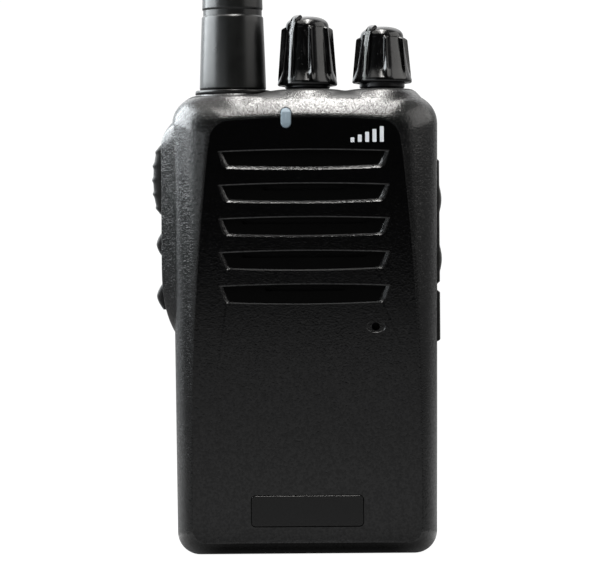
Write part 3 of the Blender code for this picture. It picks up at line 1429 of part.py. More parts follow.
def battery_cover(home):
    """Rear shell of the battery pack with its tilt bead, side grips and clip bosses."""
    edge_y = REAR_Y - REAR_EDGE
    rings = []
    for inset, y in ((0.0, COVER_FRONT_Y), (0.0, edge_y), (REAR_EDGE * 0.8, REAR_Y)):
        rings.append([Vector((x, y, z)) for x, z in battery_outline(inset)])
    made = piece("battery_cover", loft(rings), "case_plastic", home)
    bead = cylinder("X", (BEAD_Y, BATTERY_TOP), BEAD_RADIUS, -BEAD_HALF_LENGTH, BEAD_HALF_LENGTH)
    join(made, bead, *grip_pads())
    inset = BATTERY_WALL
    inner = [
        [Vector((x, y, z)) for x, z in battery_outline(inset)]
        for y in (COVER_FRONT_Y - OVERRUN, REAR_Y - BATTERY_WALL)
    ]
    cut(made, loft(inner))
    boss_front = REAR_Y - CLIP_SCREW_LENGTH - BATTERY_WALL
    sides = (-CLIP_SCREW_X, CLIP_SCREW_X)
    rear = REAR_Y - BATTERY_WALL / 2
    join(made, *[cylinder("Y", (x, CLIP_SCREW_Z), CLIP_BOSS_RADIUS, boss_front, rear) for x in sides])
    hole = (boss_front + BATTERY_WALL / 2, REAR_Y + OVERRUN)
    cut(made, *[cylinder("Y", (x, CLIP_SCREW_Z), SCREW_SHANK_RADIUS + FIT, *hole) for x in sides])
    cut(made, latch_slot()[1])


def battery_inside(home):
    """Two cells and the pack's board."""
    front, rear = TRAY_REAR_Y + FIT, REAR_Y - BATTERY_WALL - FIT
    outer = BATTERY_HALF_WIDTH - BATTERY_WALL - FIT
    for side, name in ((-1, "left"), (1, "right")):
        x = sorted((side * FIT, side * outer))
        cell = box((x[0], front, CELL_LOW_Z), (x[1], rear, CELL_HIGH_Z), CELL_EDGE)
        piece(f"battery_cell_{name}", cell, "cell_wrap", home)
    low = (-PACK_BOARD_HALF_WIDTH, front, CELL_HIGH_Z + FIT)
    high = (PACK_BOARD_HALF_WIDTH, front + PACK_BOARD_THICKNESS, CELL_HIGH_Z + FIT + PACK_BOARD_HEIGHT)
    piece("battery_board", box(low, high), "board", home)


def battery_latch(home, battery_home):
    """Sliding latch with a nose that enters the chassis, and the spring behind it."""
    nose_low, nose_high = LATCH_NOSE_Z, LATCH_NOSE_Z + LATCH_NOSE_HEIGHT
    stem_front = TRAY_FRONT_Y + FIT
    stem_rear = stem_front + LATCH_STEM
    pad_low, pad_high = LATCH_PAD_LIFT, LATCH_PAD_LIFT + LATCH_PAD_HEIGHT
    outline = [
        (latch_pad_rear(), pad_low),
        (latch_pad_rear(), pad_high),
        (stem_rear, pad_high),
        (stem_rear, nose_high),
        (stem_front, nose_high),
        (stem_front, pad_low),
    ]
    made = piece(
        "battery_latch",
        prism(outline, "X", -LATCH_HALF_WIDTH, LATCH_HALF_WIDTH),
        "gloss_plastic",
        home,
    )
    nose_low_corner = (-LATCH_NOSE_HALF_WIDTH, CHASSIS_REAR_Y - LATCH_NOSE_REACH, nose_low)
    nose_high_corner = (LATCH_NOSE_HALF_WIDTH, stem_rear - LATCH_STEM / 2, nose_high - FIT)
    join(made, box(nose_low_corner, nose_high_corner))
    low = stem_rear + LATCH_SPRING_WIRE + FIT
    length = REAR_Y - BATTERY_WALL - FIT - LATCH_SPRING_WIRE - low
    centre = (0.0, pad_high + FIT + LATCH_SPRING_RADIUS + LATCH_SPRING_WIRE)
    spring("latch_spring", "Y", centre, low, length, LATCH_SPRING_RADIUS, LATCH_SPRING_WIRE,
           LATCH_SPRING_TURNS, "steel", battery_home)


# Belt clip


def clip_bracket(home):
    """Plate screwed to the battery's back, with two ears and the hinge pin."""
    rear = CLIP_PLATE_Y + CLIP_BRACKET_THICKNESS
    low = (-CLIP_BRACKET_HALF_WIDTH, CLIP_PLATE_Y, CLIP_BRACKET_LOW_Z)
    high = (CLIP_BRACKET_HALF_WIDTH, rear, CLIP_BRACKET_HIGH_Z)
    made = piece("clip_bracket", box(low, high), "gloss_plastic", home)
    centre = (CLIP_PIN_Y, CLIP_PIN_Z)
    for side in (-1, 1):
        x = sorted(
            (
                side * CLIP_BRACKET_HALF_WIDTH,
                side * (CLIP_BRACKET_HALF_WIDTH - CLIP_EAR_THICKNESS),
            )
        )
        root = CLIP_PLATE_Y + CLIP_BRACKET_THICKNESS / 2
        ear = [(root, CLIP_PIN_Z - CLIP_EAR_HALF_HEIGHT)]
        ear += arc(centre, CLIP_BARREL_RADIUS, -60, 60, 6)
        ear.append((root, CLIP_PIN_Z + CLIP_EAR_HALF_HEIGHT))
        join(made, prism(ear, "X", *x))
        cut(made, cylinder("X", centre, CLIP_PIN_RADIUS + FIT, x[0] - OVERRUN, x[1] + OVERRUN))
    for side, name in ((-1, "left"), (1, "right")):
        at = (side * CLIP_SCREW_X, CLIP_SCREW_Z)
        cut(made, screw_hole("Y", at, rear, -1, CLIP_BRACKET_THICKNESS + OVERRUN))
        screw(f"clip_screw_{name}", "Y", at, rear, -1, CLIP_SCREW_LENGTH, home)
    end = CLIP_BRACKET_HALF_WIDTH + FIT
    head = end + CLIP_PIN_HEAD
    wide = CLIP_PIN_RADIUS + 2 * FIT
    profile = [(wide, -head), (wide, -end), (CLIP_PIN_RADIUS, -end)]
    profile += [(radius, -x) for radius, x in reversed(profile)]
    piece("clip_pin", turned("X", centre, profile, SMALL_STEPS), "steel", home)


def clip_arm(home):
    """Sprung arm: thumb tab above the pin, long arm below it, heel near the battery and flared tip."""
    inner = REAR_Y + CLIP_GAP
    outer = inner + CLIP_ARM_THICKNESS
    heel = REAR_Y + 1.5 * FIT
    outline = [
        (outer, CLIP_TOP_Z),
        (inner, CLIP_TOP_Z),
        (inner, CLIP_BEND_Z + CLIP_ARM_THICKNESS / 2),
        (heel, CLIP_HEEL_Z),
        (heel + CLIP_ARM_THICKNESS, CLIP_TIP_Z),
        (heel + 2 * CLIP_ARM_THICKNESS, CLIP_TIP_Z + FIT),
        (heel + CLIP_ARM_THICKNESS, CLIP_HEEL_Z),
        (outer, CLIP_BEND_Z),
    ]
    half = CLIP_BRACKET_HALF_WIDTH - CLIP_EAR_THICKNESS - FIT
    made = piece("clip_arm", prism(outline, "X", -half, half), "gloss_plastic", home)
    centre = (CLIP_PIN_Y, CLIP_PIN_Z)
    join(made, cylinder("X", centre, CLIP_BARREL_RADIUS, -half, half, ROUND_STEPS))
    cut(made, cylinder("X", centre, CLIP_PIN_RADIUS + FIT, -half - OVERRUN, half + OVERRUN))
    room = CLIP_SPRING_HALF_WIDTH + CLIP_SPRING_WIRE + FIT
    reach = CLIP_BARREL_RADIUS + FIT
    cut(
        made,
        box(
            (-room, CLIP_PIN_Y - reach, CLIP_PIN_Z - reach),
            (room, CLIP_PIN_Y + CLIP_PIN_RADIUS + 3 * FIT, CLIP_PIN_Z + reach),
        ),
    )


def clip_spring(home):
    """Torsion coil around the hinge pin."""
    radius = CLIP_PIN_RADIUS + FIT + CLIP_SPRING_WIRE
    centre = (CLIP_PIN_Y, CLIP_PIN_Z)
    low, length = -CLIP_SPRING_HALF_WIDTH, 2 * CLIP_SPRING_HALF_WIDTH
    spring("clip_spring", "X", centre, low, length, radius, CLIP_SPRING_WIRE, CLIP_SPRING_TURNS,
           "steel", home)


# Assembly


def build_radio():
    """Builds every piece on its home empty."""
    clear_scene()
    case = pivot("case_home", (0.0, 0.0, 0.0))
    volume = pivot("volume_axis", (VOLUME_X, CONTROL_Y, MOUND_Z), case)
    channel = pivot("channel_axis", (CHANNEL_X, CONTROL_Y, MOUND_Z), case)
    washer = pivot("antenna_washer_axis", (ANTENNA_X, CONTROL_Y, WASHER_LOW_Z), case)
    antenna_axis = pivot("antenna_axis", (ANTENNA_X, CONTROL_Y, ANTENNA_BASE_Z), washer)
    rail_x = -(case_half_width(PTT_Z) + RAIL_PROUD)
    ptt = pivot("ptt_axis", (rail_x, KEY_Y, PTT_Z), case)
    upper_key = pivot("upper_key_axis", (rail_x, KEY_Y, SIDE_KEY_UPPER_Z), case)
    lower_key = pivot("lower_key_axis", (rail_x, KEY_Y, SIDE_KEY_LOWER_Z), case)
    flap = pivot("jack_cover_axis", (cover_faces()[0], JACK_Y, COVER_HINGE_Z), case)
    battery = pivot("battery_axis", (0.0, BEAD_Y, BATTERY_TOP), case)
    latch = pivot("latch_axis", (0.0, TRAY_FRONT_Y, LATCH_NOSE_Z), battery)
    clip = pivot("clip_axis", (0.0, CLIP_PIN_Y, CLIP_PIN_Z), battery)

    front_case(case)
    led_lens(case)
    name_plate(case)
    speaker(case)
    microphone(case)
    chassis(case)
    boards(case)
    control("volume_control", "volume_nut", VOLUME_X, 4, case)
    control("channel_switch", "channel_nut", CHANNEL_X, 8, case)
    antenna_socket(case)
    jack_block(case)
    jack_cover_anchor(case)
    rear_cover(case)
    knob("volume_knob", "volume_shaft", VOLUME_X, VOLUME_KNOB_HEIGHT, VOLUME_KNOB_GAP, volume)
    knob("channel_knob", "channel_shaft", CHANNEL_X, CHANNEL_KNOB_HEIGHT, CHANNEL_KNOB_GAP, channel)
    antenna(washer, antenna_axis)
    ptt_button(ptt)
    side_key("upper_side_key", SIDE_KEY_UPPER_Z, upper_key)
    side_key("lower_side_key", SIDE_KEY_LOWER_Z, lower_key)
    jack_cover(flap)
    battery_tray(battery)
    battery_cover(battery)
    battery_inside(battery)
    battery_latch(latch, battery)
    clip_bracket(battery)
    clip_arm(clip)
    clip_spring(battery)


build_radio()
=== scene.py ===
"""Looks of a hand-held two-way radio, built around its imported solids.

Metres, +Z up. The radio faces -Y and stands at z = 0. Each class below makes the visible pieces of
one sub-assembly, dresses them and hangs them on the body that carries them.
"""

from __future__ import annotations

import json
import logging
import math
from collections.abc import Callable, Iterable, Sequence
from dataclasses import dataclass
from enum import Enum
from typing import Any

import bmesh
import bpy
from mathutils import Vector
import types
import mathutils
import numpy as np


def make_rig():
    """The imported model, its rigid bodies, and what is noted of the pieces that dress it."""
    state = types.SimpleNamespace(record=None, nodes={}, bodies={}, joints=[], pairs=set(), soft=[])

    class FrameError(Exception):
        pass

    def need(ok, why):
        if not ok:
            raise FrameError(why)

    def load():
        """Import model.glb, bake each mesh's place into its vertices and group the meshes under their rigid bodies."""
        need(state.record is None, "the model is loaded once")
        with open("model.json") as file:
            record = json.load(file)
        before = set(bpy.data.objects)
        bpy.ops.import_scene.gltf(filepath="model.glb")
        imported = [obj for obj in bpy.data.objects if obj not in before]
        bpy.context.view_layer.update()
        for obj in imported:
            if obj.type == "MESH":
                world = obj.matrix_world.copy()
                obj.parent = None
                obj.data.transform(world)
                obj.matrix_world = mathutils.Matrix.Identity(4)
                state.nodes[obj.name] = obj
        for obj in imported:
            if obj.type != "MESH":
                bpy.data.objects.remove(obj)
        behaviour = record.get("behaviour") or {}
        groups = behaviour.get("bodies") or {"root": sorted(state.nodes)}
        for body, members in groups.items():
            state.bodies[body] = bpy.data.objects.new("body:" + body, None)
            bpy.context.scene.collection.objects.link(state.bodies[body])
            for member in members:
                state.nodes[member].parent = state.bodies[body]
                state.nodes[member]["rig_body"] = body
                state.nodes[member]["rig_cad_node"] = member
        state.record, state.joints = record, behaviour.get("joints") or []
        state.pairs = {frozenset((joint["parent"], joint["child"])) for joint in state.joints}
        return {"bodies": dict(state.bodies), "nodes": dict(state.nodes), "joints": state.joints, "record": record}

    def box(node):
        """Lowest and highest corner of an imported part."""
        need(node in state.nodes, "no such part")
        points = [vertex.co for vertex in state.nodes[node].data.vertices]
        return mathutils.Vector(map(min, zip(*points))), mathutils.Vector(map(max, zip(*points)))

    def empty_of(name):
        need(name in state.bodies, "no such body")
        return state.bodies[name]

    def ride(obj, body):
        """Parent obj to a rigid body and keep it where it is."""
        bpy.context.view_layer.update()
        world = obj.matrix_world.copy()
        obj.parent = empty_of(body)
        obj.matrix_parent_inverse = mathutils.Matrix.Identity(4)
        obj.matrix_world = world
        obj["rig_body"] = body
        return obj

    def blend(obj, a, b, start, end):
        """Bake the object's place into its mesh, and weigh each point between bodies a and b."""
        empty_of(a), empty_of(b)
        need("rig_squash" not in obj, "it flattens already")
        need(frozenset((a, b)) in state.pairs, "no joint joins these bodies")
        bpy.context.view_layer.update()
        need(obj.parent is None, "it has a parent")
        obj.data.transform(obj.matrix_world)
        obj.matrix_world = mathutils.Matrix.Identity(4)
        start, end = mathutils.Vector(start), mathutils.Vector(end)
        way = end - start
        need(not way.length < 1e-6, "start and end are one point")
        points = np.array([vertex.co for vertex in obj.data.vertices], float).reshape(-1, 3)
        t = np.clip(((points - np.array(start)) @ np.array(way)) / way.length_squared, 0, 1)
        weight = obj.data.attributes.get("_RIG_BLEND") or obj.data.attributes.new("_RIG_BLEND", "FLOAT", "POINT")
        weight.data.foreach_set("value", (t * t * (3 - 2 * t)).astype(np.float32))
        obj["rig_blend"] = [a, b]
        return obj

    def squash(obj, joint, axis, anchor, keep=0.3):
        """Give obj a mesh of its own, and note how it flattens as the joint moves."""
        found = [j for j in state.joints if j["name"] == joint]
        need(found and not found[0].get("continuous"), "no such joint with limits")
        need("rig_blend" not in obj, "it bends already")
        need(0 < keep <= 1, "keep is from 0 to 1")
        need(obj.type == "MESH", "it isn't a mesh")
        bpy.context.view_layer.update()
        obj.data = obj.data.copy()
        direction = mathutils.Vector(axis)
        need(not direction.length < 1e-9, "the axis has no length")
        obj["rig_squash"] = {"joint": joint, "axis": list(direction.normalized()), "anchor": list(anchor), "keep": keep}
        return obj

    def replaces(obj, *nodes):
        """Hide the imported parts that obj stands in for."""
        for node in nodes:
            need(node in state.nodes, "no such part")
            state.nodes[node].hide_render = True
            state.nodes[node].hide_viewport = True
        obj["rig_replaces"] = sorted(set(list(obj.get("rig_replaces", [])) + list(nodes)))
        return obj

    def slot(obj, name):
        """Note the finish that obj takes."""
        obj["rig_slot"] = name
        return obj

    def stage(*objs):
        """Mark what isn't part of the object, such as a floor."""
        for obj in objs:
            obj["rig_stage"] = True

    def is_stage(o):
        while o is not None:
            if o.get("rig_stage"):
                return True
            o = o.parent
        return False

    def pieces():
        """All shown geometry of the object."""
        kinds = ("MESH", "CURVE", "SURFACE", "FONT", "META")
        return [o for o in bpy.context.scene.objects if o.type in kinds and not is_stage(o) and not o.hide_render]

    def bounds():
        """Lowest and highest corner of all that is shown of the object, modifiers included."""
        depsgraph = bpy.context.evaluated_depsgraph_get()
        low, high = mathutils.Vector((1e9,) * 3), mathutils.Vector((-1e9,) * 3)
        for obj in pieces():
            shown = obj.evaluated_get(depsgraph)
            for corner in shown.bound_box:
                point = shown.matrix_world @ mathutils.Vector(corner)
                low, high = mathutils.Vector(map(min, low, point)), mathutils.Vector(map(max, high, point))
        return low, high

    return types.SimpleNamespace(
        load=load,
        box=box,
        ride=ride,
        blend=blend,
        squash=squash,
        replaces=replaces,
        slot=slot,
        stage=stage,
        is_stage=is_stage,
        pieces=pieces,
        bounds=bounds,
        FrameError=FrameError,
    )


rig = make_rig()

LOG = logging.getLogger("radio")
SIZE_FILE = "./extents.json"

Point = tuple[float, float]
Outline = list[Point]
Colour = tuple[float, float, float]
Solid = bmesh.types.BMesh

PAST = 0.001  # how far a cutting tool stands past the face that it cuts
SLIVER = 1e-7  # edges shorter than this are dropped
HEAD_HOLE = 0.0022  # radius of the hole for a screw's head
HEAD_ROOM = 0.0012  # how deep a screw's head and its seat sit
SHANK_HOLE = 0.00125  # radius of the hole for a screw's shank


# Shader maths


class Wire:
    """An output socket that takes part in arithmetic."""

    def __init__(self, graph: Graph, socket: bpy.types.NodeSocket) -> None:
        """Keeps the graph and the socket."""
        self.graph = graph
        self.socket = socket

    def _math(self, operation: str, first: Any, second: Any) -> Wire:
        """A Math node on two values or wires."""
        return self.graph.node("ShaderNodeMath", {"operation": operation}, {0: first, 1: second})

    def __add__(self, other: Any) -> Wire:
        """This wire plus a value."""
        return self._math("ADD", self, other)

    def __radd__(self, other: Any) -> Wire:
        """A value plus this wire."""
        return self._math("ADD", other, self)

    def __sub__(self, other: Any) -> Wire:
        """This wire less a value."""
        return self._math("SUBTRACT", self, other)

    def __rsub__(self, other: Any) -> Wire:
        """A value less this wire."""
        return self._math("SUBTRACT", other, self)

    def __mul__(self, other: Any) -> Wire:
        """This wire times a value."""
        return self._math("MULTIPLY", self, other)

    def __rmul__(self, other: Any) -> Wire:
        """A value times this wire."""
        return self._math("MULTIPLY", other, self)

    def __gt__(self, other: Any) -> Wire:
        """1 where this wire is above a value, and 0 elsewhere."""
        return self._math("GREATER_THAN", self, other)

    def __abs__(self) -> Wire:
        """This wire without its sign."""
        return self._math("ABSOLUTE", self, 0.0)


class Graph:
    """The nodes of one material or of the world."""

    def __init__(self, tree: bpy.types.NodeTree) -> None:
        """Empties a tree, to fill it anew."""
        self.tree = tree
        tree.nodes.clear()

    def node(
        self,
        kind: str,
        settings: dict[str, Any] | None = None,
        sockets: dict[str | int, Any] | None = None,
        output: str | int = 0,
    ) -> Wire:
        """Adds a node.

        Args:
            kind: The node's type.
            settings: Its properties, set first.
            sockets: Values or wires for its inputs, by name or number.
            output: The output that is handed back.

        Returns:
            The wire of that output, or of the first input of a node that has no output.
        """
        made = self.tree.nodes.new(kind)
        for key, value in (settings or {}).items():
            setattr(made, key, value)
        for key, value in (sockets or {}).items():
            if isinstance(value, Wire):
                self.tree.links.new(value.socket, made.inputs[key])
            else:
                made.inputs[key].default_value = value
        return Wire(self, made.outputs[output] if len(made.outputs) else made.inputs[0])

    def mix(self, share: Any, first: Any, second: Any) -> Wire:
        """A colour between two colours.

        Args:
            share: Share of the second colour.
            first: Colour, or its wire, where share is 0.
            second: Colour, or its wire, where share is 1.

        Returns:
            The mixed colour.
        """
        colours = [c if isinstance(c, Wire) else (*c, 1.0) for c in (first, second)]
        settings = {"data_type": "RGBA"}
        return self.node("ShaderNodeMix", settings, {0: share, 6: colours[0], 7: colours[1]}, 2)

    def noise(self, place: Wire, scale: float, detail: float = 2.0, warp: float = 0.0) -> Wire:
        """Noise from 0 to 1, with waves in a metre, octaves of detail and a twist."""
        sockets = {"Vector": place, "Scale": scale, "Detail": detail, "Distortion": warp}
        return self.node("ShaderNodeTexNoise", None, sockets)

    def ramp(self, value: Wire, start: float, end: float) -> Wire:
        """A smooth rise from 0 to 1.

        Args:
            value: The wire that it follows.
            start: Value where the rise starts.
            end: Value where it ends.

        Returns:
            The share from 0 to 1.
        """
        settings = {"interpolation_type": "SMOOTHSTEP"}
        sockets = {"Value": value, "From Min": start, "From Max": end}
        return self.node("ShaderNodeMapRange", settings, sockets)

    def stretched(self, place: Wire, factors: Colour) -> Wire:
        """Coordinates stretched by a factor along each axis."""
        return self.node("ShaderNodeMapping", None, {"Vector": place, "Scale": factors})


# Finishes


@dataclass(frozen=True)
class Surface:
    """What a finish works on: a material's nodes, coordinates in metres, and slow noise from 0 to 1."""

    graph: Graph
    place: Wire
    mottle: Wire


@dataclass(frozen=True)
class Finish:
    """A finish: colour, gloss, the mottle that varies both, and a relief."""

    name: str
    slot: str
    colour: Colour
    roughness: float
    metallic: float = 0.0
    specular: float = 0.5
    mottle: float = 0.12
    mottle_scale: float = 220.0
    gloss_spread: float = 0.06
    relief_depth: float = 0.00001
    relief_scale: float = 1500.0
    relief_strength: float = 0.4
    top_dull: float = 0.0
    sheen: float = 0.0

    def material(self) -> bpy.types.Material:
        """The finish's material, made on first use.

        Returns:
            The material.
        """
        found = bpy.data.materials.get(self.name)
        if found:
            return found
        made = bpy.data.materials.new(self.name)
        made.use_nodes = True
        graph = Graph(made.node_tree)
        place = graph.node("ShaderNodeTexCoord", output="Object")
        on = Surface(graph, place, graph.noise(place, self.mottle_scale, 3.0))
        raised = {"Distance": self.relief_depth, "Height": self.relief(on)}
        bump = graph.node("ShaderNodeBump", None, {"Strength": self.relief_strength, **raised})
        sockets = {
            "Base Color": self.tint(on),
            "Roughness": self.gloss(on),
            "Metallic": self.metallic,
            "Specular IOR Level": self.specular,
            "Coat Weight": self.glint(on),
            "Coat Roughness": 0.08,
            "Sheen Weight": self.sheen,
            "Normal": bump,
        }
        shader = graph.node("ShaderNodeBsdfPrincipled", None, sockets)
        graph.node("ShaderNodeOutputMaterial", None, {"Surface": shader})
        return made

    def tint(self, on: Surface) -> Wire:
        """The colour, darker and paler with the slow noise."""
        dark, pale = (tuple(c * (1 + way * self.mottle) for c in self.colour) for way in (-1, 1))
        return on.graph.mix(on.mottle, dark, pale)

    def gloss(self, on: Surface) -> Wire:
        """The roughness, which varies with the slow noise and rises on faces that look up."""
        rough = self.roughness + (on.mottle - 0.5) * self.gloss_spread
        return rough + self.facing_up(on.graph) * self.top_dull if self.top_dull else rough

    @staticmethod
    def facing_up(graph: Graph) -> Wire:
        """1 on faces that look up, where hands and dust dull the plastic, and 0 on the others."""
        normal = graph.node("ShaderNodeTexCoord", output="Normal")
        return graph.ramp(graph.node("ShaderNodeSeparateXYZ", None, {"Vector": normal}, "Z"), 0.78, 0.96)

    def glint(self, on: Surface) -> Wire | float:
        """The weight of the clear coat, which a plain finish does without."""
        return 0.0

    def relief(self, on: Surface) -> Wire:
        """The height of the fine relief, from 0 to 1."""
        return on.graph.noise(on.place, self.relief_scale, 3.0)


@dataclass(frozen=True)
class SparkGrain(Finish):
    """Moulded plastic with the wavy grain of a spark-eroded mould, whose crests shine."""

    crest_shine: float = 0.0

    def glint(self, on: Surface) -> Wire | float:
        """The weight of the clear coat, with more on the crests than in the hollows.

        Args:
            on: What the finish works on.

        Returns:
            The weight.
        """
        if not self.crest_shine:
            return 0.0
        crests = on.graph.noise(on.place, self.relief_scale, 1.0, 0.4)
        shine = on.graph.ramp(crests, 0.3, 0.7) * self.crest_shine
        return shine * (1.0 - self.facing_up(on.graph)) if self.top_dull else shine

    def relief(self, on: Surface) -> Wire:
        """Worm-like ridges with finer hills among them."""
        worms = abs(on.graph.noise(on.place, self.relief_scale, 0.5, 0.4) - 0.5)
        return worms * 1.5 + on.graph.noise(on.place, self.relief_scale * 2.4, 0.0, 0.2) * 0.3


@dataclass(frozen=True)
class HandledGloss(Finish):
    """Polished plastic with a few faint rubs and specks of dust."""

    def gloss(self, on: Surface) -> Wire:
        """Rubs that are duller than the polish around them."""
        rubs = on.graph.noise(on.graph.stretched(on.place, (1.0, 1.0, 0.12)), 2600.0, 2.0)
        return self.roughness + ((rubs > 0.63) * 0.10) + (on.mottle - 0.5) * self.gloss_spread

    def tint(self, on: Surface) -> Wire:
        """Pale specks on the plain colour."""
        specks = on.graph.noise(on.place, 2400.0, 0.0) > 0.80
        return on.graph.mix(specks * 0.03, super().tint(on), (0.4, 0.4, 0.4))


@dataclass(frozen=True)
class DrawnMetal(Finish):
    """Metal with the fine lines of drawing or turning along one axis."""

    lines: Colour = (1.0, 1.0, 0.05)

    def relief(self, on: Surface) -> Wire:
        """Long thin lines."""
        return on.graph.noise(on.graph.stretched(on.place, self.lines), self.relief_scale, 3.0)


@dataclass(frozen=True)
class CircuitBoard(Finish):
    """Solder mask over copper tracks, with tinned pads."""

    def tint(self, on: Surface) -> Wire:
        """Paler green over the tracks, and tin on the pads.

        Args:
            on: What the finish works on.

        Returns:
            The colour.
        """
        sockets = {"Vector": on.place, "Scale": 300.0, "Randomness": 0.35}
        cells = on.graph.node("ShaderNodeTexVoronoi", {"distance": "CHEBYCHEV"}, sockets)
        tracks = on.graph.mix(cells > 0.42, self.colour, tuple(c * 1.7 for c in self.colour))
        return on.graph.mix((0.12 - cells) > 0.0, tracks, (0.55, 0.55, 0.52))


@dataclass(frozen=True)
class WovenNet(Finish):
    """Fine net of crossed threads."""

    def relief(self, on: Surface) -> Wire:
        """Two sets of crossed waves.

        Args:
            on: What the finish works on.

        Returns:
            The height from 0 to 1.
        """
        heights = []
        for direction in ("X", "Z"):
            settings = {"wave_type": "BANDS", "bands_direction": direction}
            sockets = {"Vector": on.place, "Scale": self.relief_scale}
            heights.append(on.graph.node("ShaderNodeTexWave", settings, sockets, 1))
        return heights[0] * 0.5 + heights[1] * 0.5


CASE = SparkGrain(
    "grained_case_plastic", "case_plastic", (0.0014, 0.0014, 0.0015), 0.225,
    gloss_spread=0.03, relief_depth=0.000065, relief_scale=1900.0, relief_strength=1.0,
    crest_shine=0.3, specular=0.45, top_dull=0.7,
)
PANEL = SparkGrain(
    "fine_grained_panel_plastic", "case_plastic", (0.0008, 0.0008, 0.0009), 0.07,
    gloss_spread=0.015, relief_depth=0.000012, relief_scale=1900.0, relief_strength=0.5,
    crest_shine=0.32, specular=0.41,
)
SMOOTH_CASE = Finish(
    "smooth_case_plastic", "case_plastic", (0.0004, 0.0004, 0.0004), 0.30,
    relief_strength=0.1, specular=0.08,
)
KNOB_GLOSS = HandledGloss(
    "polished_knob_plastic", "gloss_plastic", (0.0008, 0.0008, 0.0009), 0.15,
    relief_strength=0.06, specular=0.45,
)
CLIP_PLASTIC = SparkGrain(
    "clip_plastic", "gloss_plastic", (0.0020, 0.0020, 0.0021), 0.26,
    relief_depth=0.00004, relief_scale=2200.0, relief_strength=0.25,
)
KEY_RUBBER = Finish(
    "key_rubber", "black_rubber", (0.0018, 0.0018, 0.0018), 0.42,
    relief_depth=0.00002, relief_scale=5200.0, specular=0.1, sheen=0.18,
)
WASHER_RUBBER = Finish(
    "washer_rubber", "black_rubber", (0.0016, 0.0016, 0.0016), 0.30, relief_strength=0.1, specular=0.3,
)
SHEATH_RUBBER = Finish(
    "antenna_sheath_rubber", "antenna_rubber", (0.0012, 0.0014, 0.0013), 0.30,
    mottle=0.18, mottle_scale=420.0, gloss_spread=0.12,
    relief_depth=0.00002, relief_scale=3800.0, relief_strength=0.25, specular=0.42,
)
LENS = Finish(
    "indicator_lens", "lens", (0.138, 0.176, 0.206), 0.42,
    mottle=0.05, relief_strength=0.05, specular=0.2,
)
PLATE = SparkGrain(
    "name_plate_satin", "plate", (0.0016, 0.0016, 0.0016), 0.22,
    relief_depth=0.00002, relief_scale=3600.0, relief_strength=0.2, specular=0.44,
)
PRINT = Finish("pale_print", "plate", (0.50, 0.52, 0.55), 0.5, mottle=0.06)
POINTER_PAINT = Finish("pointer_paint", "gloss_plastic", (0.23, 0.24, 0.25), 0.35, mottle=0.05)
# Dim grey paint for the pointer line of the channel knob.
DIM_POINTER_PAINT = Finish(
    "dim_pointer_paint", "gloss_plastic", (0.075, 0.08, 0.078), 0.4,
    mottle=0.2, relief_strength=0.05, specular=0.3,
)
STEEL = DrawnMetal(
    "plated_steel", "steel", (0.52, 0.52, 0.53), 0.28, 1.0, relief_scale=2600.0,
)
BLACK_STEEL = DrawnMetal(
    "blackened_steel", "steel", (0.020, 0.020, 0.021), 0.30, 0.6, relief_scale=2600.0,
)
BRASS = DrawnMetal("plated_brass", "brass", (0.66, 0.48, 0.22), 0.27, 1.0, relief_scale=2600.0)
CAST = Finish(
    "cast_aluminium", "cast_metal", (0.40, 0.41, 0.42), 0.44, 1.0,
    relief_depth=0.00003, relief_scale=2400.0,
)
BOARD = CircuitBoard("green_board", "board", (0.012, 0.085, 0.035), 0.35)
NET = WovenNet(
    "speaker_net_weave", "net_cloth", (0.004, 0.004, 0.004), 0.85,
    relief_depth=0.00005, relief_scale=900.0, specular=0.2,
)
CONE = Finish("pressed_cone_paper", "cone_paper", (0.018, 0.018, 0.018), 0.8, relief_scale=3000.0)
CELL = DrawnMetal("cell_wrap", "cell_can", (0.08, 0.14, 0.28), 0.32, relief_scale=900.0)


# Shapes


class Axis(Enum):
    """The axis that a shape runs along."""

    X = "x"
    Y = "y"
    Z = "z"

    def place(self, along: float, across: float, up: float) -> Vector:
        """A point from its place along the axis and its two places across it."""
        orders = {Axis.X: (along, across, up), Axis.Y: (across, along, up), Axis.Z: (across, up, along)}
        return Vector(orders[self])

    def ring(self, along: float, outline: Sequence[Point]) -> list[Vector]:
        """An outline drawn across the axis, at a place along it."""
        return [self.place(along, *point) for point in outline]


class Cut(Enum):
    """What a tool does to a piece."""

    AWAY = "DIFFERENCE"
    ON = "UNION"


def clamp(value: float) -> float:
    """A value kept between 0 and 1."""
    return min(1.0, max(0.0, value))


def ease(share: float) -> float:
    """A share from 0 to 1 with a gentle start and end."""
    return share * share * (3 - 2 * share)


def bend(value: float, power: float) -> float:
    """A value raised to a power, with its sign kept."""
    return math.copysign(abs(value) ** power, value)


def evenly(low: float, high: float, steps: int) -> list[float]:
    """Even steps from low to high, both included."""
    return [low + (high - low) * step / steps for step in range(steps + 1)]


def quarter(steps: int) -> list[float]:
    """Even steps of a quarter turn, in radians, both ends included."""
    return [math.pi / 2 * step / steps for step in range(steps + 1)]


def gathered(low: float, high: float, steps: int) -> list[float]:
    """Steps from low to high, both included, that crowd towards the ends."""
    return [low + (high - low) * (1 - math.cos(math.pi * step / steps)) / 2 for step in range(steps + 1)]


def half_oval(power: float, steps: int = 28) -> Outline:
    """Section of a strip with round edges: share across it from 1 to -1, and share of its thickness."""
    turns = [math.pi * turn / steps for turn in range(steps + 1)]
    return [(bend(math.cos(a), power), math.sin(a) ** power) for a in turns]


def arc(centre: Point, radius: float, start: float, end: float, steps: int) -> Outline:
    """Points of an arc, both ends included, between two angles in degrees."""
    turns = [math.radians(angle) for angle in evenly(start, end, steps)]
    return [(centre[0] + radius * math.cos(a), centre[1] + radius * math.sin(a)) for a in turns]


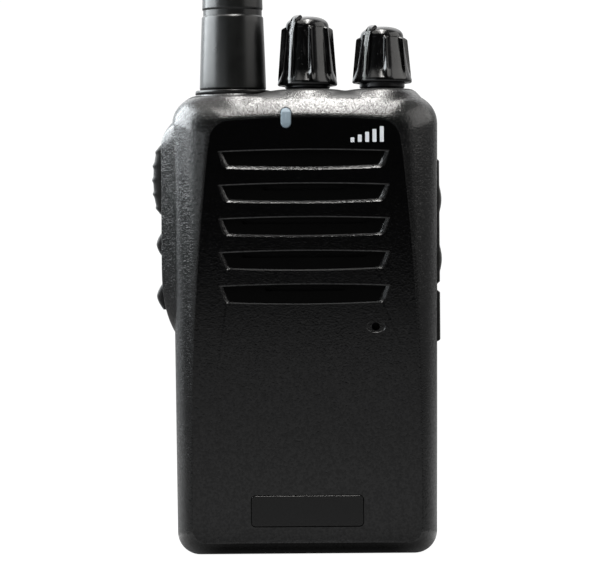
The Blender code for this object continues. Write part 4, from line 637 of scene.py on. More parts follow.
def curve(start: Vector, corner: Vector, end: Vector, steps: int) -> Outline:
    """Points of a curve from a start to an end that bends towards a corner between them."""
    shares = [((1 - t) ** 2, 2 * t * (1 - t), t**2) for t in evenly(0.0, 1.0, steps)]
    return [tuple(start * a + corner * b + end * c) for a, b, c in shares]


def headings(path: Sequence[Point]) -> list[Vector]:
    """Direction of a path at each of its points, from the point before to the point after."""
    pairs = zip([path[0], *path[:-1]], [*path[1:], path[-1]])
    return [Vector((after[0] - before[0], after[1] - before[1])).normalized() for before, after in pairs]


def filleted(points: Sequence[Point], setbacks: float | Sequence[float], steps: int = 4) -> Outline:
    """Rounds the corners of a closed outline.

    Args:
        points: The corners in order.
        setbacks: How far before and after each corner its rounding starts; 0 keeps it sharp.
        steps: Facets of one rounding.

    Returns:
        The rounded outline.
    """
    count = len(points)
    reaches = [setbacks] * count if isinstance(setbacks, float) else list(setbacks)
    rounded: Outline = []
    for i, corner in enumerate(points):
        if reaches[i] <= 0:
            rounded.append(corner)
            continue
        here = Vector(corner)
        ends = []
        for other in (points[i - 1], points[(i + 1) % count]):
            side = Vector(other) - here
            ends.append(here + side.normalized() * min(reaches[i], side.length * 0.48))
        rounded += curve(ends[0], here, ends[1], steps)
    return rounded


def rectangle(centre: Point, width: float, height: float, radius: float, steps: int = 6) -> Outline:
    """Outline of a rectangle with round corners.

    Args:
        centre: Its middle.
        width: Its width.
        height: Its height.
        radius: Radius of its corners.
        steps: Facets of one corner.

    Returns:
        The outline, anticlockwise.
    """
    x, z = width / 2 - radius, height / 2 - radius
    points: Outline = []
    for dx, dz, start in ((x, z, 0), (-x, z, 90), (-x, -z, 180), (x, -z, 270)):
        points += arc((centre[0] + dx, centre[1] + dz), radius, start, start + 90, steps)
    return points


def oval(centre: Point, half_width: float, half_height: float, steps: int = 32) -> Outline:
    """Outline of an ellipse."""
    turns = [2 * math.pi * step / steps for step in range(steps)]
    return [(centre[0] + half_width * math.cos(a), centre[1] + half_height * math.sin(a)) for a in turns]


def pill(centre: Point, width: float, height: float, steps: int = 10) -> Outline:
    """Outline of an upright slot with round ends."""
    (x, z), reach = centre, (height - width) / 2
    return arc((x, z + reach), width / 2, 0, 180, steps) + arc((x, z - reach), width / 2, 180, 360, steps)


def loft(rings: Sequence[Sequence[Vector]], closed: bool = False) -> Solid:
    """A solid through rings of points.

    Args:
        rings: Rings of the same number of points.
        closed: Whether the last ring joins the first; if not, both are capped.

    Returns:
        The solid.
    """
    shape = bmesh.new()
    loops = [[shape.verts.new(point) for point in ring] for ring in rings]
    pairs = list(zip(loops, loops[1:]))
    if closed:
        pairs.append((loops[-1], loops[0]))
    for first, second in pairs:
        for i in range(len(first)):
            j = (i + 1) % len(first)
            shape.faces.new((first[i], first[j], second[j], second[i]))
    if not closed:
        shape.faces.new(loops[0])
        shape.faces.new(loops[-1])
    return shape


def prism(outline: Sequence[Point], axis: Axis, low: float, high: float) -> Solid:
    """An outline drawn across an axis, extruded from low to high along it."""
    return loft([axis.ring(along, outline) for along in (low, high)])


def pillow(
    outline: Callable[[float], Outline], axis: Axis, low: float, high: float, edge: float, steps: int = 4
) -> Solid:
    """A prism whose two rims are rounded.

    Args:
        outline: Gives the outline for an inset.
        axis: The axis that it runs along.
        low: Its lower end.
        high: Its upper end.
        edge: Radius of the rims.
        steps: Facets of a rim.

    Returns:
        The solid.
    """
    section = [(edge * (1 - math.sin(a)), low + edge * (1 - math.cos(a))) for a in quarter(steps)]
    section += [(inset, high + low - along) for inset, along in reversed(section)]
    return loft([axis.ring(along, outline(inset)) for inset, along in section])


def block(low: Sequence[float], high: Sequence[float], edge: float) -> Solid:
    """A box with round edges.

    Args:
        low: Its lowest corner.
        high: Its highest corner.
        edge: Radius of its edges.

    Returns:
        The solid.
    """
    centre = ((low[0] + high[0]) / 2, (low[1] + high[1]) / 2)
    size = (high[0] - low[0], high[1] - low[1])

    def outline(inset: float) -> Outline:
        """The box seen from above."""
        radius = max(edge - inset, edge * 0.15)
        return rectangle(centre, size[0] - 2 * inset, size[1] - 2 * inset, radius, 4)

    return pillow(outline, Axis.Z, low[2], high[2], edge)


def turned(
    axis: Axis, centre: Point, profile: Sequence[Point], steps: int, closed: bool = False
) -> Solid:
    """A solid turned about an axis, from (radius, place along the axis) pairs in order."""
    rings = [axis.ring(along, oval(centre, radius, radius, steps)) for radius, along in profile]
    return loft(rings, closed)


def mirrored(profile: Sequence[Point]) -> Outline:
    """A profile followed by its mirror image across the middle of its axis."""
    return [*profile, *[(radius, -along) for radius, along in reversed(profile)]]


def washer(bore: float, rim: float, low: float, high: float, edge: float) -> Outline:
    """Profile (radius, place along the axis) of a ring whose outer edges are broken."""
    half = [(bore, low), (rim - edge, low), (rim, low + edge)]
    return half + [(rim, high - edge), (rim - edge, high), (bore, high)]


def screw_hole(top: float, floor: float, end: float) -> Outline:
    """Profile (radius, place along the axis) of a hole that takes a screw's head down to its floor."""
    return [(HEAD_HOLE, top), (HEAD_HOLE, floor), (SHANK_HOLE, floor), (SHANK_HOLE, end)]


def rod(axis: Axis, centre: Point, radius: float, low: float, high: float, steps: int = 40) -> Solid:
    """A plain round tool along an axis."""
    return turned(axis, centre, [(radius, low), (radius, high)], steps)


def coil(
    axis: Axis, centre: Point, low: float, length: float, radius: float, wire: float, turns: int
) -> Solid:
    """A coil of round wire.

    Args:
        axis: The coil's axis.
        centre: Where the axis lies across itself.
        low: Where the wire's middle line starts along the axis.
        length: How far it runs.
        radius: Radius of its middle line.
        wire: Radius of the wire.
        turns: Number of turns.

    Returns:
        The solid.
    """
    steps, facets = turns * 28, 10
    forward = axis.place(1.0, 0.0, 0.0)
    rings = []
    for step in range(steps + 1):
        a = 2 * math.pi * turns * step / steps
        out = axis.place(0.0, math.cos(a), math.sin(a))
        along = low + length * step / steps
        point = axis.place(along, centre[0] + radius * math.cos(a), centre[1] + radius * math.sin(a))
        around = oval((0.0, 0.0), wire, wire, facets)
        rings.append([point + out * u + forward * v for u, v in around])
    return loft(rings)


def merged(shapes: Iterable[Solid]) -> Solid:
    """One mesh of several solids, each turned to face outwards.

    Args:
        shapes: The solids, which are used up.

    Returns:
        The mesh.
    """
    whole = bmesh.new()
    for shape in shapes:
        bmesh.ops.recalc_face_normals(shape, faces=shape.faces)
        mesh = bpy.data.meshes.new("part")
        shape.to_mesh(mesh)
        shape.free()
        whole.from_mesh(mesh)
        bpy.data.meshes.remove(mesh)
    return whole


class Piece:
    """A visible piece, in the radio's own frame: shaped, then dressed and hung on a body."""

    def __init__(self, name: str, finish: Finish, *shapes: Solid) -> None:
        """Makes the piece from solids that stay apart.

        Args:
            name: The piece's name.
            finish: Its main finish.
            shapes: Its solids.
        """
        self.finish = finish
        self.obj = self._object(name, shapes)
        self.obj.data.materials.append(finish.material())

    @staticmethod
    def _object(name: str, shapes: Iterable[Solid]) -> bpy.types.Object:
        """Makes an object.

        Args:
            name: Its name.
            shapes: Its solids.

        Returns:
            The object.
        """
        whole = merged(shapes)
        mesh = bpy.data.meshes.new(name)
        whole.to_mesh(mesh)
        whole.free()
        obj = bpy.data.objects.new(name, mesh)
        bpy.context.scene.collection.objects.link(obj)
        return obj

    def _bake(self) -> None:
        """Turns the piece's modifiers into plain mesh."""
        graph = bpy.context.evaluated_depsgraph_get()
        mesh = bpy.data.meshes.new_from_object(self.obj.evaluated_get(graph))
        old = self.obj.data
        self.obj.modifiers.clear()
        self.obj.data = mesh
        bpy.data.meshes.remove(old)

    def work(self, cut: Cut, *shapes: Solid) -> Piece:
        """Cuts solids away or joins them on.

        Args:
            cut: What they do.
            shapes: The solids, which stay apart from each other.

        Returns:
            The piece.
        """
        tool = self._object("tool", shapes)
        tool.data.materials.append(self.finish.material())
        modifier = self.obj.modifiers.new("tool", "BOOLEAN")
        modifier.operation = cut.value
        modifier.object = tool
        modifier.solver = "EXACT"
        self._bake()
        mesh = tool.data
        bpy.data.objects.remove(tool)
        bpy.data.meshes.remove(mesh)
        return self

    def paint(self, finish: Finish, where: Callable[[Vector, Vector], bool]) -> Piece:
        """Gives some faces a second finish.

        Args:
            finish: The finish.
            where: Picks a face by its centre and its normal.

        Returns:
            The piece.
        """
        self.obj.data.materials.append(finish.material())
        index = len(self.obj.data.materials) - 1
        for face in self.obj.data.polygons:
            if where(face.center, face.normal):
                face.material_index = index
        return self

    def _clean(self) -> None:
        """Drops the slivers and the doubled faces that cutting leaves."""
        mesh = bmesh.new()
        mesh.from_mesh(self.obj.data)
        bmesh.ops.remove_doubles(mesh, verts=mesh.verts, dist=SLIVER)
        bmesh.ops.dissolve_degenerate(mesh, edges=mesh.edges, dist=SLIVER)
        alike: dict[frozenset[bmesh.types.BMVert], list[bmesh.types.BMFace]] = {}
        for face in mesh.faces:
            alike.setdefault(frozenset(face.verts), []).append(face)
        doubled = [face for faces in alike.values() if len(faces) > 1 for face in faces]
        bmesh.ops.delete(mesh, geom=doubled, context="FACES")
        mesh.to_mesh(self.obj.data)
        mesh.free()

    def shade(self, sharp: float = 38.0) -> Piece:
        """Smooths the piece's shading, with flat faces kept flat.

        Args:
            sharp: Edges stay sharp above this angle, in degrees.

        Returns:
            The piece.
        """
        self._clean()
        self.obj.data.shade_smooth()
        self.obj.data.set_sharp_from_angle(angle=math.radians(sharp))
        modifier = self.obj.modifiers.new("normals", "WEIGHTED_NORMAL")
        modifier.keep_sharp = True
        self._bake()
        return self

    def hang(self, body: str, *nodes: str) -> None:
        """Hangs the piece on a body.

        Args:
            body: The body's name.
            nodes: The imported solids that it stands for.
        """
        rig.ride(self.obj, body)
        if nodes:
            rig.replaces(self.obj, *nodes)
        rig.slot(self.obj, self.finish.slot)
        LOG.info("%s rides on %s: %d faces", self.obj.name, body, len(self.obj.data.polygons))


# Shell


@dataclass(frozen=True)
class Shell:
    """Outline and depths of the moulded shell, which the pieces around it follow."""

    fit: float = 0.0003
    height: float = 0.1011
    half_width_bottom: float = 0.0285
    half_width_top: float = 0.02925
    bottom_radius: float = 0.005
    top_radius: float = 0.0062
    top_crown: float = 0.0004
    wall: float = 0.002
    front_y: float = -0.0165
    shoulder_y: float = -0.009
    split_y: float = 0.0045
    rear_y: float = 0.0165
    rear_edge: float = 0.0022
    rounding: float = 1.2
    panel_half_width: float = 0.025
    panel_taper: float = 0.0046
    panel_taper_start: float = 0.020
    panel_low: float = 0.0029
    panel_high: float = 0.0957
    panel_low_radius: float = 0.003
    panel_high_radius: float = 0.004
    panel_crown: float = 0.0010
    control_y: float = -0.005
    volume_x: float = 0.0007
    channel_x: float = 0.0172
    antenna_x: float = -0.0158
    mound_z: float = 0.1022
    key_y: float = -0.0042
    jack_y: float = -0.0049
    corner_steps: int = 12
    side_steps: int = 26
    top_steps: int = 44
    slope_steps: int = 20
    wall_steps: int = 24
    bead_y: float = 0.014
    clip_screw: Point = (0.0066, 0.0755)

    def half_width(self, z: float) -> float:
        """Half the shell's width at a height."""
        lean = self.half_width_top - self.half_width_bottom
        return self.half_width_bottom + lean * z / self.height

    def panel_half(self, z: float) -> float:
        """Half the front panel's width at a height."""
        share = max(0.0, z - self.panel_taper_start) / (self.panel_high - self.panel_taper_start)
        return self.panel_half_width - self.panel_taper * share**2

    def _round(
        self, half: Callable[[float], float], span: Point, radii: Point, crown: float, inset: float
    ) -> Outline:
        """A rounded outline (x, z) seen from the front.

        Args:
            half: Half the width at a height.
            span: Lowest and highest height.
            radii: Radius of the lower and of the upper corners.
            crown: How far the top falls towards its ends.
            inset: How far the outline is moved in.

        Returns:
            The outline, anticlockwise from the middle of the base.
        """
        low_radius, high_radius = (max(radius - inset, self.fit) for radius in radii)
        low, high = span[0] + inset + low_radius, span[1] - inset - high_radius
        right = arc((half(low) - inset - low_radius, low), low_radius, -90, 0, self.corner_steps)
        right += [(half(z) - inset, z) for z in evenly(low, high, self.side_steps)[1:-1]]
        end = half(high) - inset
        corner = arc((end - high_radius, high), high_radius, 0, 90, self.corner_steps)
        top = span[1] - inset
        corner += [(x, top) for x in evenly(corner[-1][0], 0.0, self.top_steps)[1:-1]]
        right += [(x, z - crown * (x / end) ** 2) for x, z in corner]
        return right + [(0.0, top)] + [(-x, z) for x, z in reversed(right)]

    def outline(self, inset: float = 0.0) -> Outline:
        """Outline of the side walls, moved in by an inset."""
        radii = (self.bottom_radius, self.top_radius)
        return self._round(self.half_width, (0.0, self.height), radii, self.top_crown, inset)

    def panel(self, inset: float = 0.0) -> Outline:
        """Outline of the flat front panel, moved in by an inset."""
        span, radii = (self.panel_low, self.panel_high), (self.panel_low_radius, self.panel_high_radius)
        return self._round(self.panel_half, span, radii, self.panel_crown, inset)

    def front_at(self, z: float) -> float:
        """Depth of the outer face in the middle of the width.

        Args:
            z: A height near the panel's top.

        Returns:
            The depth.
        """
        if z <= self.panel_high:
            return self.front_y
        inset = min(1.0, (self.height - z) / (self.height - self.panel_high))
        turn = math.acos((1 - inset) ** (1 / self.rounding))
        return self.shoulder_y + (self.front_y - self.shoulder_y) * math.sin(turn) ** self.rounding

    def rear_sections(self) -> list[Point]:
        """(Inset, depth) of the rounded edge around the back, front first."""
        edge, turns = self.rear_edge, quarter(8)
        return [(edge * 0.8 * (1 - math.cos(a)), self.rear_y - edge * (1 - math.sin(a))) for a in turns]

    def form(
        self,
        rear: float,
        front: float,
        shoulder: float,
        inset: float,
        edge: float,
        lift: Callable[[float, float, float], float] | None = None,
    ) -> Solid:
        """The shell's form: straight walls and a rounded border that closes on the panel.

        Args:
            rear: Depth of its open end.
            front: Depth of the panel.
            shoulder: Depth where the border starts.
            inset: How far it lies inside the outer faces.
            edge: Rounding of the rear rim.
            lift: Gives the height that a point of the surface is raised to.

        Returns:
            The solid.
        """
        outer, panel = self.outline(inset), self.panel(inset)
        sections = [(0.0, rear - edge)]
        if lift:
            sections += [(0.0, y) for y in evenly(rear - edge, shoulder, self.wall_steps)[1:-1]]
        for turn in quarter(self.slope_steps):
            depth = shoulder + (front - shoulder) * math.sin(turn) ** self.rounding
            sections.append((1 - math.cos(turn) ** self.rounding, depth))
        rings = [Axis.Y.ring(rear, self.outline(inset + edge))] if edge else []
        for share, y in sections:
            ring = []
            for (ax, az), (bx, bz) in zip(outer, panel):
                x, z = ax + (bx - ax) * share, az + (bz - az) * share
                ring.append(Vector((x, y, lift(x, y, z) if lift else z)))
            rings.append(ring)
        return loft(rings)


SHELL = Shell()


@dataclass(frozen=True)
class Openings:
    """Windows of the front case, which the pieces in them follow."""

    lens: Point = (-0.0041, 0.0956)
    lens_size: Point = (0.0023, 0.0045)
    plate: Point = (0.0, 0.0098)
    plate_size: Point = (0.0244, 0.0067)
    plate_radius: float = 0.0009
    plate_depth: float = 0.0006
    ptt: Point = (0.0825, 0.0157)
    ptt_width: float = 0.008
    keys: Point = (0.0683, 0.0569)
    key_size: Point = (0.0060, 0.0060)
    jacks: Point = (0.0779, 0.0648)
    flap: Point = (0.0465, 0.0867)
    flap_width: float = 0.0076
    flap_screw_z: float = 0.0519


OPENINGS = Openings()


# Front of the radio


@dataclass
class FrontCase:
    """Moulded front case: speaker slots, windows, control mounds and key rail."""

    slot_count: int = 5
    slot_pitch: float = 0.00734
    slot_height: float = 0.0038
    slot_x: float = -0.0003
    slot_top_half: float = 0.0188
    slot_bottom_half: float = 0.0176
    slot_corners: Point = (0.0002, 0.0012)
    slot_depth: float = 0.001
    slot_lips: tuple[Point, ...] = (
        (0.00068, 1.0), (0.00054, 0.92), (0.00040, 0.78), (0.00022, 0.60), (0.00006, 0.50)
    )
    slot_brow: Point = (0.00024, 1.3)
    slot_end: Point = (0.0010, 2.5)
    slot_leans: tuple[float, float, float] = (0.08, 0.15, 0.5)
    slot_bulge: float = 0.0004
    slot_centre: float = 0.07185
    hole_height: float = 0.0011
    hole_brow: float = 0.0002
    hole_circle: float = 0.0141
    hole_least: float = 0.0006
    speaker_z: float = 0.0695
    mic: Point = (0.0152, 0.04995)
    mic_half: Point = (0.0021, 0.0014)
    mic_dish: tuple[Point, ...] = (
        (-0.0004, 1.06), (0.0, 1.0), (0.00004, 0.975), (0.00028, 0.95), (0.00034, 0.90)
    )
    mic_hole: float = 0.0009
    rail_low: float = 0.0476
    rail_swell_low: float = 0.0655
    rail_swell_high: float = 0.0893
    rail_high: float = 0.0958
    rail_proud: float = 0.0026
    rail_sunk: float = 0.0008
    rail_front: float = -0.0112
    rail_round: float = 0.0024
    rail_section: tuple[Point, ...] = (
        (0.0, 0.0), (0.26, 0.22), (0.5, 0.45), (0.7, 0.66), (0.84, 0.82), (0.93, 0.93), (0.98, 1.01),
        (1.0, 1.1),
    )
    rail_steps: int = 72
    key_radius: float = 0.0012
    key_reach: Point = (-0.034, -0.0262)
    jack_window: float = 0.0026
    flap_radius: float = 0.0016
    flap_floor: float = 0.028134
    inner_x: float = 0.024
    top_rise: float = 0.0009
    top_half: float = 0.025
    top_rear: Point = (0.0004, 0.004)
    mound_flat: float = 0.0063
    mound_foot: float = 0.0093
    antenna_mound: tuple[float, float, float] = (0.0084, 0.0110, 0.1008)
    seat_radius: float = 0.0088
    seat: tuple[Point, ...] = ((0.0, -0.0052), (0.0, -0.0008), (-0.0002, -0.0002), (-0.0004, 0.0))
    pocket: tuple[Point, ...] = ((-0.0003, 0.0), (0.0, 0.0001), (0.0002, 0.0005), (0.0004, 0.002))
    bushing_hole: float = 0.0038
    socket_hole: float = 0.0034
    top_holes: Point = (0.095, 0.104)
    smooth_span: Point = (0.0007, 0.0015)

    def slot_outline(self, middle: float, insets: Sequence[float]) -> Outline:
        """One speaker slot seen from the front.

        Args:
            middle: Height of its middle.
            insets: How far its top edge, its lower edge and its ends are moved in.

        Returns:
            The outline.
        """
        points: Outline = []
        setbacks: list[float] = []
        halves = (self.slot_top_half, self.slot_bottom_half)
        for side, half, inset, corner in zip((1, -1), halves, insets, self.slot_corners):
            edge = middle + side * (self.slot_height / 2 - inset)
            for t in evenly(0.0, 1.0, 20):
                x = self.slot_x + side * (half - insets[2]) * (1 - 2 * t)
                points.append((x, edge + side * self.slot_bulge * 4 * t * (1 - t)))
                setbacks.append(corner if t in (0.0, 1.0) else 0.0)
        return filleted(points, setbacks, 5)

    @staticmethod
    def lip_inset(depth: float, height: float, pitch: float, lean: float) -> float:
        """How far a chamfered lip has come in at a depth.

        Args:
            depth: Depth below the panel.
            height: Height of the chamfer.
            pitch: How far the chamfer comes in for its depth.
            lean: The same for the wall below it.

        Returns:
            The inset.
        """
        if depth <= 0:
            return 0.0
        full = height / pitch
        return min(depth, full) * pitch + max(0.0, depth - full) * lean

    def slot(self, middle: float, lip: Point) -> Solid:
        """Tool for one speaker slot, with chamfered lips and sloped end walls.

        Args:
            middle: Height of its middle.
            lip: Height and pitch of its lower lip.

        Returns:
            The tool.
        """
        edges = (self.slot_brow, lip, self.slot_end)
        breaks = {height / pitch for height, pitch in edges}
        breaks = {depth for depth in breaks if depth < self.slot_depth * 0.97}
        rings = []
        for depth in sorted(breaks | {-0.0006, 0.0, self.slot_depth}):
            insets = [self.lip_inset(depth, *edge, lean) for edge, lean in zip(edges, self.slot_leans)]
            rings.append(Axis.Y.ring(SHELL.front_y + depth, self.slot_outline(middle, insets)))
        return loft(rings)

    def slot_middles(self) -> list[float]:
        """Heights of the slots, top one first."""
        top = self.slot_centre + self.slot_pitch * (self.slot_count - 1) / 2
        return [top - self.slot_pitch * i for i in range(self.slot_count)]

    def sound_holes(self) -> list[Solid]:
        """Tools for the openings in the slots' floors, where the speaker is behind them.

        Returns:
            The tools.
        """
        tools = []
        for middle in self.slot_middles():
            z = middle + self.slot_height / 2 - self.hole_brow - self.hole_height / 2
            offset = z - self.speaker_z
            if abs(offset) >= self.hole_circle - self.hole_least:
                continue
            reach = math.sqrt(self.hole_circle**2 - offset**2)
            outline = rectangle((self.slot_x, z), 2 * reach, self.hole_height, self.hole_height * 0.45)
            tools.append(prism(outline, Axis.Y, SHELL.front_y + 0.0005, SHELL.front_y + 0.003))
        return tools

    def rail_stand(self, z: float) -> float:
        """How far the rail stands out.

        Args:
            z: A height.

        Returns:
            The share, from 0 at the rail's ends to 1.
        """
        if z < self.rail_swell_low:
            return 1 - ((self.rail_swell_low - z) / (self.rail_swell_low - self.rail_low)) ** 3.2
        if z > self.rail_swell_high:
            return 1 - ((z - self.rail_swell_high) / (self.rail_high - self.rail_swell_high)) ** 2.2
        return 1.0

    def rail(self) -> Solid:
        """The bar that guards the keys, rounded in front and sinking into the wall at its ends.

        Returns:
            The solid.
        """
        root = -(SHELL.half_width(self.rail_low) - SHELL.wall * 0.6)
        crest = SHELL.half_width(OPENINGS.ptt[0]) + self.rail_proud
        rear = SHELL.split_y
        rings = []
        for z in gathered(self.rail_low, self.rail_high, self.rail_steps):
            wall = SHELL.half_width(z) - self.rail_sunk
            out = (crest - wall) * max(0.0, self.rail_stand(z))
            reach, edge = wall + out, min(0.0004, out * 0.5 + 0.00002)
            ring = [(root, self.rail_front)]
            for share, depth in self.rail_section:
                ring.append((-wall - out * share, self.rail_front + self.rail_round * depth))
            ring += [(-reach, rear - 2 * edge), (-reach + edge * 0.3, rear - edge * 0.7)]
            ring += [(-reach + edge, rear), (root, rear)]
            rings.append(Axis.Z.ring(z, ring))
        return loft(rings)

    def stand(self, x: float, y: float, z: float) -> float:
        """Height of the skin at a point: crowned along the top, with a mound under each knob.

        Args:
            x: Place across the width.
            y: Depth.
            z: Height of the plain form there.

        Returns:
            The height.
        """
        share = (z - SHELL.panel_high) / (SHELL.height - SHELL.panel_high)
        if share < 0:
            return z
        rear = clamp((SHELL.split_y - self.top_rear[0] - y) / self.top_rear[1])
        z += self.top_rise * max(0.0, 1 - (x / self.top_half) ** 2) * min(1.0, share) * ease(rear)
        knob = (self.mound_flat, self.mound_foot, SHELL.mound_z)
        mounds = ((SHELL.volume_x, *knob), (SHELL.channel_x, *knob), (SHELL.antenna_x, *self.antenna_mound))
        for centre, flat, foot, top in mounds:
            away = math.hypot(x - centre, y - SHELL.control_y)
            z += max(0.0, top - z) * ease(clamp((foot - away) / (foot - flat)))
        return z

    def about_antenna(self, steps: Sequence[Point]) -> Solid:
        """A solid about the antenna's axis, from (past the seat's rim, above the case) pairs."""
        profile = [(self.seat_radius + out, SHELL.height + up) for out, up in steps]
        return turned(Axis.Z, (SHELL.antenna_x, SHELL.control_y), profile, 96)

    def key_window(self, middle: float, length: float, width: float) -> Solid:
        """Tool for a key's window in the rail."""
        wide, tall = width + 2 * SHELL.fit, length + 2 * SHELL.fit
        return prism(rectangle((SHELL.key_y, middle), wide, tall, self.key_radius), Axis.X, *self.key_reach)

    def dimple(self) -> Solid:
        """Tool for the microphone's oval dish."""
        dish = [(y, [half * share for half in self.mic_half]) for y, share in self.mic_dish]
        return loft([Axis.Y.ring(SHELL.front_y + y, oval(self.mic, *halves)) for y, halves in dish])

    def windows(self) -> list[Solid]:
        """Tools for the windows in the case's faces.

        Returns:
            The tools.
        """
        gap, front, opening = SHELL.fit, SHELL.front_y, OPENINGS
        lens = pill(opening.lens, *(side + gap for side in opening.lens_size))
        wide, tall = (side + gap for side in opening.plate_size)
        plate = rectangle(opening.plate, wide, tall, opening.plate_radius + gap / 2)
        low, high = opening.flap
        wide, tall = opening.flap_width + 2 * gap, high - low + 2 * gap
        flap = rectangle((SHELL.jack_y, (low + high) / 2), wide, tall, self.flap_radius)
        controls = ((SHELL.volume_x, self.bushing_hole), (SHELL.channel_x, self.bushing_hole))
        controls += ((SHELL.antenna_x, self.socket_hole),)
        return [
            *[self.slot(z, lip) for z, lip in zip(self.slot_middles(), self.slot_lips)],
            self.dimple(),
            prism(lens, Axis.Y, front - PAST, front + 0.006),
            prism(plate, Axis.Y, front - PAST, front + opening.plate_depth + gap),
            prism(flap, Axis.X, self.flap_floor, 0.032),
            self.key_window(*opening.ptt, opening.ptt_width),
            *[self.key_window(z, *opening.key_size) for z in opening.keys],
            *[rod(Axis.Z, (x, SHELL.control_y), radius, *self.top_holes) for x, radius in controls],
        ]

    def bores(self) -> list[Solid]:
        """Tools for the holes in the windows' floors.

        Returns:
            The tools.
        """
        holes = self.sound_holes()
        holes.append(rod(Axis.Y, self.mic, self.mic_hole, SHELL.front_y + 0.0002, SHELL.front_y + 0.003))
        sides = [(z, self.jack_window) for z in OPENINGS.jacks]
        sides.append((OPENINGS.flap_screw_z, SHANK_HOLE))
        floor = self.flap_floor + PAST
        return holes + [rod(Axis.X, (SHELL.jack_y, z), radius, self.inner_x, floor) for z, radius in sides]

    def build(self) -> Piece:
        """Shapes the case.

        Returns:
            The case.
        """
        wall = SHELL.wall
        skin = SHELL.form(SHELL.split_y, SHELL.front_y, SHELL.shoulder_y, 0.0, SHELL.fit, self.stand)
        case = Piece("front_case_moulding", CASE, skin)
        case.work(Cut.ON, self.rail())
        case.work(Cut.AWAY, self.about_antenna(self.pocket))
        case.work(Cut.ON, self.about_antenna(self.seat))
        inner = (SHELL.split_y + PAST, SHELL.front_y + wall, SHELL.shoulder_y + wall / 3, wall, 0.0)
        case.work(Cut.AWAY, SHELL.form(*inner))
        case.work(Cut.AWAY, *self.windows())
        return case.work(Cut.AWAY, *self.bores())

    def dress(self) -> None:
        """Builds the case, with smooth floors in the slots and fine grain on the panel, and hangs it."""
        case = self.build()
        panel, (low, high) = SHELL.front_y + 0.00001, (SHELL.front_y + depth for depth in self.smooth_span)
        case.paint(PANEL, lambda at, normal: normal.y < -0.999 and at.y < panel)
        case.paint(SMOOTH_CASE, lambda at, normal: normal.y < -0.95 and low < at.y < high)
        case.shade(34.0).hang("case", "front_case")


@dataclass
class FrontTrim:
    """Indicator lens, bare name plate and a plain row of printed bars."""

    lens_rear: float = 0.0045
    lens_proud: float = 0.0002
    lens_rim: tuple[Point, ...] = ((0.97, 0.5), (0.88, 0.85), (0.74, 0.96), (0.45, 0.99), (0.12, 1.0))
    plate_sunk: float = 0.00002
    plate_edge: float = 0.00012
    bars: Point = (0.0136, 0.0902)
    bar_width: float = 0.00085
    bar_pitch: float = 0.0016
    bar_heights: tuple[float, ...] = (0.0010, 0.0016, 0.0022, 0.0028, 0.0034)

    def lens_ring(self, share: float, lift: float) -> list[Vector]:
        """One ring of the lens.

        Args:
            share: How much of its width is left.
            lift: How far it stands off the case's face.

        Returns:
            The ring.
        """
        size = OPENINGS.lens_size
        trim = (1 - share) * size[0]
        outline = pill(OPENINGS.lens, size[0] - trim, size[1] - trim)
        return [Vector((x, SHELL.front_at(z) - lift, z)) for x, z in outline]

    def build_lens(self) -> Piece:
        """Lens with a rounded rim, which follows the slope.

        Returns:
            The lens.
        """
        foot = Axis.Y.ring(SHELL.front_y + self.lens_rear, pill(OPENINGS.lens, *OPENINGS.lens_size))
        rings = [foot, self.lens_ring(1.0, -0.0001)]
        rings += [self.lens_ring(share, lift * self.lens_proud) for share, lift in self.lens_rim]
        return Piece("indicator_lens", LENS, loft(rings))

    def build_plate(self) -> Piece:
        """Bare plate with a fine rounded rim.

        Returns:
            The plate.
        """

        def outline(inset: float) -> Outline:
            """The plate seen from the front."""
            width, height = (side - 2 * inset for side in OPENINGS.plate_size)
            return rectangle(OPENINGS.plate, width, height, OPENINGS.plate_radius - inset, 8)

        front = SHELL.front_y + self.plate_sunk
        shape = pillow(outline, Axis.Y, front, front + OPENINGS.plate_depth, self.plate_edge)
        return Piece("bare_name_plate", PLATE, shape)

    def build_bars(self) -> Piece:
        """Five printed bars that rise from left to right.

        Returns:
            The bars.
        """
        shapes = []
        for i, height in enumerate(self.bar_heights):
            x = self.bars[0] + self.bar_pitch * (i - (len(self.bar_heights) - 1) / 2)
            outline = rectangle((x, self.bars[1] + height / 2), self.bar_width, height, 0.00015, 3)
            shapes.append(prism(outline, Axis.Y, SHELL.front_y - 0.00002, SHELL.front_y + 0.00008))
        return Piece("printed_bars", PRINT, *shapes)

    def dress(self) -> None:
        """Builds the trim and hangs it on the case."""
        self.build_lens().shade(50.0).hang("case", "led_lens")
        self.build_plate().shade().hang("case", "name_plate")
        self.build_bars().shade().hang("case")


# Fasteners


